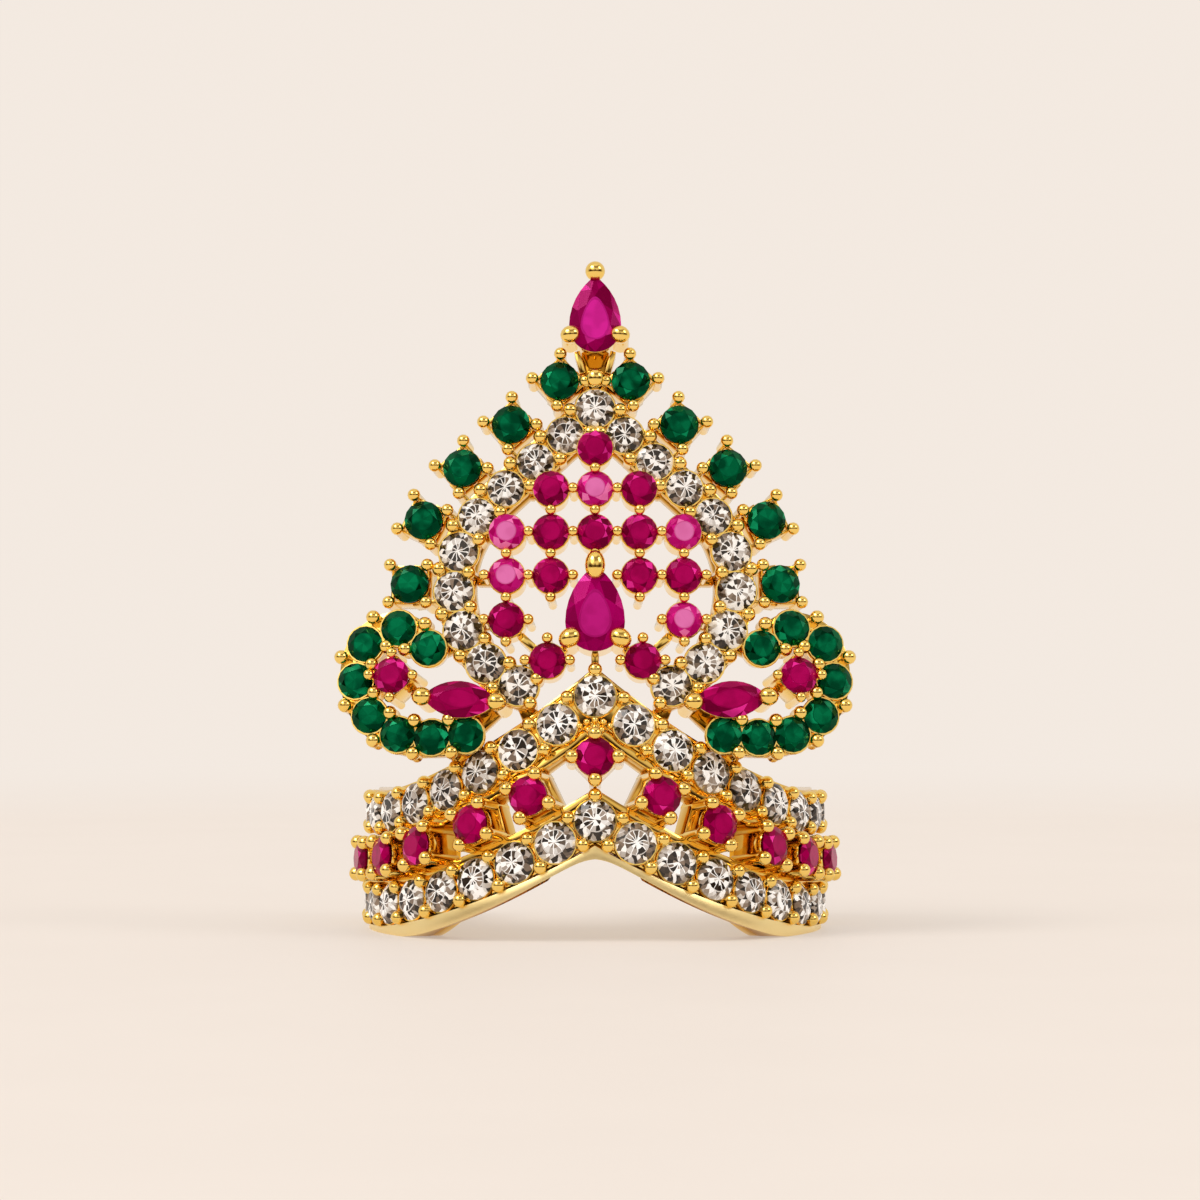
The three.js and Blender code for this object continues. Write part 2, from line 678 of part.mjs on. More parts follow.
function plumeFrame() {
  const ringed = leafPlate(RING_HALF, GALLERY.low, GALLERY.high);
  const haloZone = leafPlate(STRIP.half + ZONE.clear, GALLERY.high, ZONE.top);
  const bead = turned([[0, GALLERY.low], [STEM_BEAD, GALLERY.low], [STEM_BEAD, 0.2], [0, 0.5]], 8);
  const ballHeight = TOP_PEAR.height + STONES.topPear.halfLength + BALL_RISE;
  const ball = new THREE.SphereGeometry(TOP_BALL, 8, 5).rotateX(Math.PI / 2);
  const middle = [
    ringed,
    latticeFrame().subtract(haloZone),
    longHead(TOP_PEAR, STONES.topPear, pear, 0, [-8, 188]),
    longHead(MIDDLE_PEAR, STONES.middlePear, pear, 0, [-33, 213, 90]),
    // the stem under the top pear, with its round bead
    bar([0, 45], [0, 41], 1.1, GALLERY.low, GALLERY.high),
    placed(bead, flatSeat({ along: 0, height: 42.85 })),
    // the post from the band's point up to the middle pear, and the bar above that pear
    bar([0, 18.4], [0, 22.4], 0.3, GALLERY.low, -1.6),
    bar([0, 20.9], [0, 22.4], 0.3, GALLERY.low, -0.6),
    bar([0, 28.1], [0, 29.4], 0.3, GALLERY.low, -0.4),
    // the neck and ball that hold the top pear's point
    bar([0, ballHeight - 1.2], [0, ballHeight + 0.4], 0.45, GALLERY.low, -0.4),
    bar([0, ballHeight - 0.2], [0, ballHeight + 0.4], 0.45, GALLERY.low, 0.1),
    placed(ball.translate(0, 0, STONES.topPear.lift), flatSeat({ along: 0, height: ballHeight })),
  ];
  const spike = squareHead(STONES.spikeEmerald.lift, GALLERY.low);
  const wingRubyHead = squareHead(STONES.wingRuby.lift, GALLERY.low);
  const wingZone = ribbon(WING_PATH, WING_STRIP + ZONE.clear, STRIP.low + WING_LIFT - FIELD_GAP, ZONE.top);
  const right = joined([
    ...BARS.map(({ from, to, half, low = GALLERY.low, high }) => bar(from, to, half, low, high)),
    ...spikePlaces().map((at) => placed(spike, flatSeat(at, at.outward))),
    ribbon(WING_PATH, WING_RING_HALF, GALLERY.low, STRIP.low + WING_LIFT - FIELD_GAP),
    placed(wingRubyHead, flatSeat(WING_RUBY)).subtract(wingZone),
    longHead(MARQUISE, STONES.marquise, marquise, MARQUISE_TILT, [0, 180])
      .subtract(haloZone)
      .subtract(wingZone),
  ]);
  return bentToPlume(joined([...middle, right, flipped(right)]));
}

// ---------------------------------------------------------------- the crown

const crown = new THREE.Group();

function addMesh(name, solid, material) {
  const geometry = geometryOf(solid);
  geometry.computeVertexNormals();
  const mesh = new THREE.Mesh(geometry, material);
  mesh.name = name;
  crown.add(mesh);
}

const wing = wingField();
addMesh("crown_frame", joined([bandWall(), ...bandHeads(), plumeFrame()]), GOLD);
addMesh("upper_stone_row", bandField(ROWS.upper), WHITE);
addMesh("lower_stone_row", bandField(ROWS.lower), WHITE);
addMesh("halo_stone_row", haloField(), WHITE);
addMesh("wing_emerald_row_left", bentToPlume(flipped(wing)), EMERALD);
addMesh("wing_emerald_row_right", bentToPlume(wing), EMERALD);
for (const { name, solid, material } of singleStones()) addMesh(name, solid, material);

// The origin is the middle of the footprint, on the floor.
const box = new THREE.Box3().setFromObject(crown);
for (const mesh of crown.children) mesh.geometry.translate(0, -(box.min.y + box.max.y) / 2, 0);

export default crown;
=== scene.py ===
"""A small gilt crown: a C-shaped band of stone rows, a leaf-shaped plume and two looped wings.

Pieces are laid out flat in millimetres as (along, height, out) and then bent onto their sheet,
or modelled round a seat and set down on the sheet by a matrix.
"""

import math
import random

import bpy
from mathutils import Matrix, Vector

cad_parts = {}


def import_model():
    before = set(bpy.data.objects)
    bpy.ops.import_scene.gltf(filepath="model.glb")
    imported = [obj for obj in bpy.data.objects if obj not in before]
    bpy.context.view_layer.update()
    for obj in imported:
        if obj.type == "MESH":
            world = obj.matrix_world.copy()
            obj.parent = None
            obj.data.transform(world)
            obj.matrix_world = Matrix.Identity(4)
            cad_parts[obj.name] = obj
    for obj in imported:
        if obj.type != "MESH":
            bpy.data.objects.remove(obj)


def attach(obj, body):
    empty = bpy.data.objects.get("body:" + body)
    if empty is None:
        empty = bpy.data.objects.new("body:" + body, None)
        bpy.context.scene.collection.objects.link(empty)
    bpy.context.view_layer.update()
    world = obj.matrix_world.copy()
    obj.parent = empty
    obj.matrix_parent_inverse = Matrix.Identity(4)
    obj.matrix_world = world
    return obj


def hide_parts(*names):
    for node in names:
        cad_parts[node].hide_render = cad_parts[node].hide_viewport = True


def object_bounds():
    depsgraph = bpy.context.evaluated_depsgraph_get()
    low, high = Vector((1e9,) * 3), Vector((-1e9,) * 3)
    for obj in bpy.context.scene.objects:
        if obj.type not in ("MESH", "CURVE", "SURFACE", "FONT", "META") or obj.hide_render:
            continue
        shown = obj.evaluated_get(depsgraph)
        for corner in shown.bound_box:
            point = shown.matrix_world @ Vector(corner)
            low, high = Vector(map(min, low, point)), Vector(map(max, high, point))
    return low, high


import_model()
cad_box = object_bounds()
bpy.ops.object.select_all(action="DESELECT")
scene = bpy.context.scene

# ------------------------------------------------------------------ driving dimensions, mm

MM = 0.001
LEAN = math.radians(11)
BAND = {"radius": 17.6, "front": -17.6}
PLUME = {"radius": 80.0, "front": -17.0}
BAND_FREE_END = 10.61  # how far back the band's free ends reach, before the origin is set
FORE = cad_box[1][1] / MM - BAND_FREE_END
SIDES = (-1, 1)

UPPER = {"base": 9.0, "rise": 9.4, "reach": 24.0, "power": 2.0}
RUBIES = {"base": 5.5, "rise": 8.2, "reach": 24.0, "power": 2.0}
LOWER = {"base": 2.05, "rise": 7.1, "reach": 24.0, "power": 2.0}
RIM = {"base": 0.0, "rise": 7.0, "reach": 17.6, "power": 1.6}
RIM_PEAK, RIM_SOFT = 6.45, 0.7
ROW_END = 26.6  # the last stones of the band's rows are this far along
ROW_STONES = 17
RUBY_TURNS = (0, 15.5, 30, 46.5, 60.5, 74.5)  # degrees round the band
BAND_HEAD = {"corner": 1.22, "claw": 0.57}
BAND_BACK, BAND_FACE, BAND_END = -2.7, -1.5, 39.6
RAIL = 2.2
LIP_OUT, LIP_DROP, LIP_END = 0.1, 1.62, 29.1
WINDOWS_END = 13.2

STRIP = {"half": 1.4, "low": -1.35, "high": -0.3}
ACROSS = 1.14  # beads of a row stand this far from its middle line
# where the painted recess shade on the metal begins and over how much depth it grows, in mm
DEEP_FROM, DEEP_OVER, DEEP_BACK, DEEP_BACK_OVER = -0.15, 1.0, -2.6, 0.6
RAIL_MIDDLE, RAIL_HALF, RAIL_TOP = 1.78, 0.36, -0.5  # raised edges between the rows and the windows

LEAF = {"tip": 40.2, "belly_x": 2.4, "belly_z": 26.8, "belly_radius": 8.37, "half": 27.45}
HALO_STONES = 19
HALO_SMALL, HALO_SMALL_ONES = 1.4, 4  # the stones of the straight shoulders are a little smaller
SPIKE = {"count": 5, "offset": 3.4, "start": 0.6, "pitch": 5.0}
LEAF_END, LEAF_STEPS = LEAF["half"] + 1, 36  # the metal of the leaf runs a little past its last stones
GALLERY = {"low": -2.6, "high": -1.35}

# places of the small grains of metal at the band's point
APEX_GRAINS = (
    (0, 16.6), (0, 16.05), (-0.62, 16.45), (0.62, 16.45),
    (-0.5, 15.85), (0.5, 15.85), (-1.15, 16.15), (1.15, 16.15),
)

LATTICE_PITCH = 3.33
LATTICE = (
    (37.05, (0,)),
    (33.95, (-1, 0, 1)),
    (30.65, (-2, -1, 0, 1, 2)),
    (27.35, (-2, -1, 1, 2)),
    (24.0, (-2, 2)),
    (20.95, (-1.07, 1.07)),
)
# middles of the right wing's stones, from the upper end of its loop round to the lower one
WING = (
    (12.6, 21.9), (14.9, 23.4), (17.5, 22.2), (18.2, 19.4),
    (17.1, 16.8), (14.9, 15.4), (12.3, 15.2), (9.7, 15.4),
)
WING_STEPS = 42
WING_LIFT = 0.4
WING_RUBY = (15.3, 19.75)
MARQUISE = (10.1, 17.95)
MARQUISE_TILT = math.radians(4)
TOP_PEAR = (0.0, 46.4)
MIDDLE_PEAR = (0.0, 23.75)

STONE = {
    "white": {"radius": 1.56, "lift": 0.0},
    "halo": {"radius": 1.5, "lift": 0.0},
    "band_ruby": {"radius": 1.48, "lift": 1.2},
    "lattice_ruby": {"radius": 1.37, "lift": 0.6},
    "spike_emerald": {"radius": 1.48, "lift": 0.0},
    "wing_emerald": {"radius": 1.36, "lift": WING_LIFT},
    "wing_ruby": {"radius": 1.4, "lift": 0.9},
}
LONG = {
    "marquise": {"half_width": 1.4, "half_length": 2.85, "lift": 1.0},
    "top_pear": {"half_width": 2.0, "half_length": 4.0, "lift": 0.5},
    "middle_pear": {"half_width": 2.25, "half_length": 4.35, "lift": 1.1},
}

# ------------------------------------------------------------------ camera first

CAMERA_PLACE = (0.37, FORE - 320.0, 25.6)
SENSOR = 36.0
FOCAL_SHARE = 3.3975  # focal length in picture widths

camera_data = bpy.data.cameras.new("camera")
camera_data.sensor_width = SENSOR
camera_data.lens = SENSOR * FOCAL_SHARE
camera_data.clip_start = 0.01
camera_data.clip_end = 20.0
camera = bpy.data.objects.new("camera", camera_data)
camera.location = Vector(CAMERA_PLACE) * MM
camera.rotation_euler = (math.radians(90), 0, 0)
scene.collection.objects.link(camera)
scene.camera = camera

# ------------------------------------------------------------------ sheets and places


def face_normal(turn):
    return Vector((math.sin(turn), -math.cos(turn), math.cos(turn) * math.tan(LEAN))).normalized()


def on_sheet(sheet, along, height, out=0.0):
    turn = along / sheet["radius"]
    point = Vector((
        sheet["radius"] * math.sin(turn),
        sheet["front"] + FORE + sheet["radius"] * (1 - math.cos(turn)) + height * math.tan(LEAN),
        height,
    ))
    return point + face_normal(turn) * out


def seat(sheet, place, spin=0.0, out=0.0, tip=(0.0, 0.0)):
    """A seat's own axes in metres: X along the sheet turned by spin, Z out of the face."""
    turn = place[0] / sheet["radius"]
    normal = face_normal(turn)
    right = Vector((math.cos(turn), math.sin(turn), 0))
    up = normal.cross(right)
    basis = Matrix((right, up, normal)).transposed().to_4x4()
    basis.translation = on_sheet(sheet, place[0], place[1], out)
    own = Matrix.Rotation(spin, 4, "Z") @ Matrix.Rotation(tip[0], 4, "X") @ Matrix.Rotation(tip[1], 4, "Y")
    return Matrix.Scale(MM, 4) @ basis @ own


def row_height(row, along):
    rest = max(0.0, 1 - abs(along) / row["reach"])
    return row["base"] + row["rise"] * rest ** row["power"]


def rim_height(along):
    """The lower edge of the band: it follows its row and turns over softly at the middle."""
    gap = RIM_PEAK - row_height(RIM, along)
    return RIM_PEAK - (gap + math.hypot(gap, RIM_SOFT)) / 2


def row_slope(row, along):
    rest = max(0.0, 1 - abs(along) / row["reach"])
    return math.copysign(1, -along) * row["power"] * row["rise"] * rest ** (row["power"] - 1) / row["reach"]


def climb(row, along, half):
    return half * math.hypot(1, row_slope(row, along or 1e-3))


def spread(low, high, steps):
    return [low + (high - low) * k / steps for k in range(steps + 1)]


def row_places(row, counts):
    """Places at equal distances along a row, counted in stones from its left end."""
    walk = spread(-ROW_END, ROW_END, 800)
    lengths = [0.0]
    for a, b in zip(walk, walk[1:]):
        lengths.append(lengths[-1] + math.hypot(b - a, row_height(row, b) - row_height(row, a)))
    places = []
    for count in counts:
        goal = lengths[-1] * count / (ROW_STONES - 1)
        k = next((n for n, length in enumerate(lengths) if length >= goal - 1e-9), len(walk) - 1)
        along = walk[k]
        slope = 0.0 if abs(along) < 0.1 else math.atan(row_slope(row, along))
        places.append({"at": (along, row_height(row, along)), "slope": slope, "outward": slope + math.pi / 2})
    return places


TIP_REACH = math.hypot(LEAF["belly_x"], LEAF["tip"] - LEAF["belly_z"])
SHOULDER = math.sqrt(TIP_REACH**2 - LEAF["belly_radius"] ** 2)
SHOULDER_TURN = (math.atan2(LEAF["belly_x"], LEAF["tip"] - LEAF["belly_z"])
                 + math.asin(LEAF["belly_radius"] / TIP_REACH))


def leaf_place(length, offset=0.0):
    """A place on the right half of the leaf, at a length from the tip and an offset outwards."""
    if length <= SHOULDER:
        along = offset * math.cos(SHOULDER_TURN) + length * math.sin(SHOULDER_TURN)
        fall = length * math.cos(SHOULDER_TURN) - offset * math.sin(SHOULDER_TURN)
        return {"at": (along, LEAF["tip"] - fall), "outward": SHOULDER_TURN}
    radius = LEAF["belly_radius"] + offset
    outward = SHOULDER_TURN - (length - SHOULDER) / radius
    at = (LEAF["belly_x"] + radius * math.cos(outward), LEAF["belly_z"] + radius * math.sin(outward))
    return {"at": at, "outward": outward}


def wing_point(count):
    last = len(WING) - 1
    k = min(int(count), last - 1)
    t = count - k
    p0, p1, p2, p3 = (Vector(WING[max(0, min(last, k + n))]) for n in (-1, 0, 1, 2))
    v0, v1 = (p2 - p0) * 0.5, (p3 - p1) * 0.5
    return (2 * p1 - 2 * p2 + v0 + v1) * t**3 + (-3 * p1 + 3 * p2 - 2 * v0 - v1) * t**2 + v0 * t + p1


def wing_place(count):
    last = len(WING) - 1
    step = 1e-3
    before, after = wing_point(max(0, count - step)), wing_point(min(last, count + step))
    tangent = after - before
    return {"at": tuple(wing_point(count)), "outward": math.atan2(tangent.x, -tangent.y)}


def moved(place, across):
    turn = place["outward"]
    return (place["at"][0] + across * math.cos(turn), place["at"][1] + across * math.sin(turn))


def facing(outward, side):
    """The turn that points out of the plume on either side."""
    return outward if side > 0 else math.pi - outward


def mirrored(at, side):
    return (side * at[0], at[1])


def side_name(side):
    return "left" if side < 0 else "right"


def apart(a, b):
    return math.hypot(a[0] - b[0], a[1] - b[1])


# ------------------------------------------------------------------ modelling tools


def choose(*objects):
    for other in list(bpy.context.selected_objects):
        other.select_set(False)
    for obj in objects:
        obj.select_set(True)
    bpy.context.view_layer.objects.active = objects[0]


def made(name):
    obj = bpy.context.view_layer.objects.active
    obj.name = name
    return obj


def pick_faces(test):
    """Leaves edit mode and returns to it with only the faces selected that pass the test."""
    mesh = bpy.context.view_layer.objects.active.data
    bpy.ops.object.mode_set(mode="EDIT")
    bpy.ops.mesh.select_mode(type="FACE")
    bpy.ops.mesh.select_all(action="DESELECT")
    bpy.ops.object.mode_set(mode="OBJECT")
    for face in mesh.polygons:
        face.select = test(face.center, face.normal)
    bpy.ops.object.mode_set(mode="EDIT")


def finish_with(obj, kind, **values):
    choose(obj)
    modifier = obj.modifiers.new(kind.lower(), kind)
    for key, value in values.items():
        setattr(modifier, key, value)
    bpy.ops.object.modifier_apply(modifier=modifier.name)


def tidy(obj, merge=1e-4):
    """Merges doubled corners and turns every face outwards."""
    choose(obj)
    bpy.ops.object.mode_set(mode="EDIT")
    bpy.ops.mesh.select_all(action="SELECT")
    bpy.ops.mesh.remove_doubles(threshold=merge)
    bpy.ops.mesh.normals_make_consistent(inside=False)
    bpy.ops.object.mode_set(mode="OBJECT")


def smooth(obj, degrees=35):
    choose(obj)
    bpy.ops.object.shade_smooth_by_angle(angle=math.radians(degrees))


def soften(obj, width, segments=2, degrees=35):
    finish_with(obj, "BEVEL", width=width, segments=segments, limit_method="ANGLE",
                angle_limit=math.radians(degrees), use_clamp_overlap=True)


def mark_shade_depth(mesh, reach=None):
    """Notes how deep each corner lies in the work: full in the recesses, none at the fronts and the backs.
    The gold is darkened there by it as painted shade.
    """
    deep = mesh.attributes.get("deep") or mesh.attributes.new("deep", "FLOAT", "POINT")
    for k, corner in enumerate(mesh.vertices):
        value = min(1.0, max(0.0, (DEEP_FROM - corner.co.z) / DEEP_OVER))
        value *= min(1.0, max(0.0, (corner.co.z - DEEP_BACK) / DEEP_BACK_OVER))
        if reach is not None:
            value *= min(1.0, max(0.0, (reach - abs(corner.co.x)) / DEEP_OVER))
        deep.data[k].value = value


def copy_at(model, matrix, mark=True):
    mesh = model.data.copy()
    if mark:
        mark_shade_depth(mesh)
    mesh.transform(matrix)
    if matrix.determinant() < 0:
        mesh.flip_normals()
    obj = bpy.data.objects.new(model.name, mesh)
    scene.collection.objects.link(obj)
    return obj


def drop(*objects):
    for obj in objects:
        bpy.data.objects.remove(obj)


def joined(name, objects):
    choose(*objects)
    if len(objects) > 1:
        bpy.ops.object.join()
    return made(name)


def bend(obj, sheet, reach=None):
    mark_shade_depth(obj.data, reach)
    for corner in obj.data.vertices:
        corner.co = on_sheet(sheet, *corner.co) * MM
    return obj


def lathed(name, profile, steps):
    """Spins a line of (radius, height) corners about Z."""
    mesh = bpy.data.meshes.new(name)
    mesh.from_pydata([(r, 0, z) for r, z in profile], [(k, k + 1) for k in range(len(profile) - 1)], [])
    obj = bpy.data.objects.new(name, mesh)
    scene.collection.objects.link(obj)
    choose(obj)
    bpy.ops.object.mode_set(mode="EDIT")
    bpy.ops.mesh.select_all(action="SELECT")
    bpy.ops.mesh.spin(steps=steps, angle=math.tau, center=(0, 0, 0), axis=(0, 0, 1))
    bpy.ops.object.mode_set(mode="OBJECT")
    tidy(obj)
    return obj


def reshaped(obj, outline):
    """Carries a round piece of unit radius over to an outline."""
    for corner in obj.data.vertices:
        share = math.hypot(corner.co.x, corner.co.y)
        if share > 1e-6:
            rim = outline(math.atan2(corner.co.y, corner.co.x))
            corner.co.x, corner.co.y = share * rim[0], share * rim[1]
    return obj


def arch_width(size, distance):
    w, h = size["half_width"], size["half_length"]
    side = (h * h + w * w) / (2 * w)
    return math.sqrt(max(0.0, side * side - distance * distance)) - side + w


def marquise_outline(size, grow=0.0):
    def outline(turn):
        x = size["half_length"] * math.cos(turn)
        rim = Vector((x, math.copysign(arch_width(size, x), math.sin(turn))))
        return rim * (1 + grow / max(rim.length, 0.5))
    return outline


def pear_outline(size, grow=0.0):
    def outline(turn):
        if math.sin(turn) <= 0:
            rim = Vector((math.cos(turn), math.sin(turn))) * size["half_width"]
        else:
            y = size["half_length"] * math.sin(turn)
            rim = Vector((math.copysign(arch_width(size, y), math.cos(turn)), y))
        return rim * (1 + grow / rim.length)
    return outline


def ribbon(name, path, half, low, high, cuts=1):
    """A flat bar of even width along a path of places, as a grid given its thickness."""
    bpy.ops.mesh.primitive_grid_add(x_subdivisions=len(path) - 1, y_subdivisions=cuts, size=2)
    obj = made(name)
    last = len(path) - 1
    for corner in obj.data.vertices:
        place = path[round((corner.co.x + 1) / 2 * last)]
        at = moved(place, corner.co.y * half)
        corner.co = (at[0], at[1], high)
    tidy(obj)
    if obj.data.polygons[0].normal.z < 0:
        obj.data.flip_normals()
    finish_with(obj, "SOLIDIFY", thickness=high - low, offset=-1)
    return obj


def bar(start, end, half, low, high):
    """A straight bar of metal between two places."""
    a, b = Vector(start), Vector(end)
    middle, run = (a + b) / 2, b - a
    bpy.ops.mesh.primitive_cube_add(size=1, location=(middle.x, middle.y, (low + high) / 2),
                                    rotation=(0, 0, math.atan2(run.y, run.x)),
                                    scale=(run.length, 2 * half, high - low))
    obj = made("bar")
    bpy.ops.object.transform_apply(location=True, rotation=True, scale=True)
    soften(obj, 0.14 * min(2 * half, high - low), 2)
    return obj


# ------------------------------------------------------------------ models that repeat

CUT = {"table": 0.58, "crown": 0.3, "star": 0.77, "pavilion": 0.8, "low_half": 0.25, "girdle": 0.025}
EIGHTH = math.tau / 8


def cut_stone(name, girdle):
    """A cut of unit radius: rings of corners wrapped in their hull, its girdle at height 0."""
    table, crown = CUT["table"], CUT["crown"]
    star_height = crown * (1 - CUT["star"] * math.cos(EIGHTH / 2)) / (1 - table)
    low_height = -CUT["pavilion"] * (1 - CUT["low_half"] * math.cos(EIGHTH / 2))
    rings = (
        (8, table, crown, 0.0),
        (8, CUT["star"], star_height, EIGHTH / 2),
        (girdle, 1.0, CUT["girdle"], 0.0),
        (girdle, 1.0, -CUT["girdle"], 0.0),
        (8, CUT["low_half"], low_height, EIGHTH / 2),
    )
    bpy.ops.mesh.primitive_circle_add(vertices=8, radius=0.01, location=(0, 0, -CUT["pavilion"]))
    obj = made(name)
    bpy.ops.object.transform_apply(location=True)
    bpy.ops.object.mode_set(mode="EDIT")
    for corners, radius, height, turn in rings:
        bpy.ops.mesh.primitive_circle_add(vertices=corners, radius=radius, location=(0, 0, height),
                                          rotation=(0, 0, turn))
    bpy.ops.mesh.select_all(action="SELECT")
    bpy.ops.mesh.convex_hull()
    bpy.ops.mesh.select_all(action="SELECT")
    bpy.ops.mesh.dissolve_limited(angle_limit=math.radians(0.5))
    bpy.ops.object.mode_set(mode="OBJECT")
    return obj


def marked(obj, seed):
    """Lays the cut's own map on a stone and gives each facet a tone and the stone its number."""
    rng = random.Random(seed)
    mesh = obj.data
    for old in list(mesh.uv_layers):
        mesh.uv_layers.remove(old)
    layer = mesh.uv_layers.new(name="cut")
    turn = rng.uniform(0, math.tau)
    for loop in mesh.loops:
        x, y, _ = mesh.vertices[loop.vertex_index].co
        u, v = x * math.cos(turn) - y * math.sin(turn), x * math.sin(turn) + y * math.cos(turn)
        layer.data[loop.index].uv = (0.5 + 0.5 * u, 0.5 + 0.5 * v)
    tone = mesh.attributes.new("tone", "FLOAT", "FACE")
    stone = mesh.attributes.new("stone", "FLOAT", "FACE")
    number = rng.random()
    for k in range(len(mesh.polygons)):
        tone.data[k].value = rng.random()
        stone.data[k].value = number
    return obj


BRILLIANT = cut_stone("brilliant", 16)
LONG_CUT = cut_stone("long cut", 32)


def stone_at(matrix, radius, seed, outline=None):
    obj = copy_at(LONG_CUT if outline else BRILLIANT, Matrix.Identity(4), mark=False)
    marked(obj, seed)
    if outline:
        reshaped(obj, outline)
        obj.data.transform(Matrix.Scale(1.55, 4, (0, 0, 1)))
    else:
        obj.data.transform(Matrix.Scale(radius, 4))
    obj.data.transform(matrix)
    return obj


def bead_profile(radius, top, low, waist=0.72):
    """A round bead on a thinner post, from its top to its foot."""
    centre = top - radius
    turns = [math.radians(degrees) for degrees in (0, 22, 45, 68, 90, 115)]
    points = [(radius * math.sin(turn), centre + radius * math.cos(turn)) for turn in turns]
    points[0] = (0.0, top)
    return points + [(waist * radius, centre - radius), (waist * radius, low), (0.0, low)]


BEAD = lathed("bead", bead_profile(0.55, 0.74, STRIP["low"], 0.88), 14)
smooth(BEAD, 50)
TINY_BEAD = lathed("tiny bead", bead_profile(0.26, 0.3, -1.2), 10)
smooth(TINY_BEAD, 50)
LATTICE_BEAD_TOP = STONE["lattice_ruby"]["lift"] + 0.62
LATTICE_BEAD = lathed("lattice bead", bead_profile(0.43, LATTICE_BEAD_TOP, GALLERY["low"], 0.8), 12)
smooth(LATTICE_BEAD, 50)


def collet_profile(outer, inner, top, low):
    """Section of an open ring: a rounded lip round the stone and a wall that narrows to the back."""
    lip = (outer - inner) / 2
    return [
        (inner, top - 0.1), (inner + 0.5 * lip, top), (outer - 0.4 * lip, top), (outer, top - 0.12),
        (outer - 0.02, top - 0.5), (outer - 0.22, low + 0.08), (outer - 0.3, low),
        (inner - 0.3, low), (inner - 0.36, low + 0.08), (inner - 0.1, top - 0.45), (inner, top - 0.1),
    ]


def collet(radius, top, low, steps=24):
    ring = lathed("collet", collet_profile(radius + 0.14, radius - 0.12, top, low), steps)
    smooth(ring, 40)
    return ring


def plate(half, low, high, edge):
    """A square plate with softened edges."""
    bpy.ops.mesh.primitive_cube_add(size=2, location=(0, 0, (low + high) / 2),
                                    scale=(half, half, (high - low) / 2))
    obj = made("plate")
    bpy.ops.object.transform_apply(location=True, scale=True)
    soften(obj, edge, 2)
    smooth(obj, 40)
    return obj


def head(corner, bead, lift, low, rail=0.26, reach=0.12, flare=0.0):
    """A square basket under one stone: an open box with a rounded claw at each corner.

    With a flare, the two outer claws stand further out and two side plates run back to the halo.
    """
    half = corner + reach
    top = lift - 0.32
    bpy.ops.mesh.primitive_cube_add(size=2, location=(0, 0, (top + low) / 2),
                                    scale=(half, half, (top - low) / 2))
    box = made("basket")
    bpy.ops.object.transform_apply(location=True, scale=True)
    pick_faces(lambda centre, normal: abs(normal.z) > 0.9)
    bpy.ops.mesh.inset(thickness=rail, use_individual=True)
    bpy.ops.mesh.delete(type="FACE")
    bpy.ops.mesh.select_mode(type="EDGE")
    bpy.ops.mesh.select_non_manifold(extend=False)
    bpy.ops.mesh.bridge_edge_loops()
    bpy.ops.object.mode_set(mode="OBJECT")
    tidy(box)
    soften(box, 0.07, 2)
    claw = lathed("claw", bead_profile(bead, lift + 0.66, low, 0.8), 12)
    parts = [box]
    for x in SIDES:
        for y in SIDES:
            place = Matrix.Translation((x * corner + max(0, x) * flare, y * (corner + 0.5 * flare), 0))
            parts.append(copy_at(claw, place))
    if flare:
        parts += [bar((-0.2, y * (half - 0.02)), (-2.5, y * (half - 0.3)), 0.13, low, lift - 0.5)
                  for y in SIDES]
    drop(claw)
    whole = joined("head", parts)
    smooth(whole, 45)
    return whole


def fat_claw(radius, lift, low, long=1.0):
    """A big rounded claw, drawn out along its own X towards the stone that it holds."""
    claw = lathed("fat claw", bead_profile(radius, lift + 0.85, low, 0.9), 16)
    claw.data.transform(Matrix.Scale(long, 4, (1, 0, 0)))
    smooth(claw, 50)
    return claw


# ------------------------------------------------------------------ materials


def socket(group, name, direction, kind, value=None):
    made_socket = group.interface.new_socket(name=name, in_out=direction, socket_type="NodeSocket" + kind)
    if value is not None:
        made_socket.default_value = value
    return made_socket


def node(tree, kind, **values):
    new = tree.nodes.new(kind)
    for key, value in values.items():
        setattr(new, key, value)
    return new


def maths(tree, operation, a, b=None, clamp=False):
    new = node(tree, "ShaderNodeMath", operation=operation, use_clamp=clamp)
    for index, value in enumerate((a, b)):
        if value is None:
            continue
        if isinstance(value, (int, float)):
            new.inputs[index].default_value = value
        else:
            tree.links.new(value, new.inputs[index])
    return new.outputs[0]


def mixed(tree, share, a, b):
    new = node(tree, "ShaderNodeMix", data_type="RGBA")
    for index, value in ((0, share), (6, a), (7, b)):
        if isinstance(value, (int, float)):
            new.inputs[index].default_value = value
        elif isinstance(value, tuple):
            new.inputs[index].default_value = value
        else:
            tree.links.new(value, new.inputs[index])
    return new.outputs[2]


def noted(tree, name):
    """A value noted on the mesh: a facet's tone, a stone's number or a corner's depth, which sets the painted
    recess shade.
    """
    return node(tree, "ShaderNodeAttribute", attribute_name=name, attribute_type="GEOMETRY").outputs["Fac"]


def polar(tree):
    """Distance from a stone's middle, turn as a share of a circle, and the stone's own number."""
    uv = node(tree, "ShaderNodeUVMap", uv_map="cut")
    parts = node(tree, "ShaderNodeSeparateXYZ")
    tree.links.new(uv.outputs[0], parts.inputs[0])
    x = maths(tree, "SUBTRACT", maths(tree, "MULTIPLY", parts.outputs[0], 2.0), 1.0)
    y = maths(tree, "SUBTRACT", maths(tree, "MULTIPLY", parts.outputs[1], 2.0), 1.0)
    squares = maths(tree, "ADD", maths(tree, "MULTIPLY", x, x), maths(tree, "MULTIPLY", y, y))
    distance = maths(tree, "SQRT", squares)
    turn = maths(tree, "ADD", maths(tree, "DIVIDE", maths(tree, "ARCTAN2", y, x), math.tau), 0.5)
    return distance, turn, noted(tree, "stone")


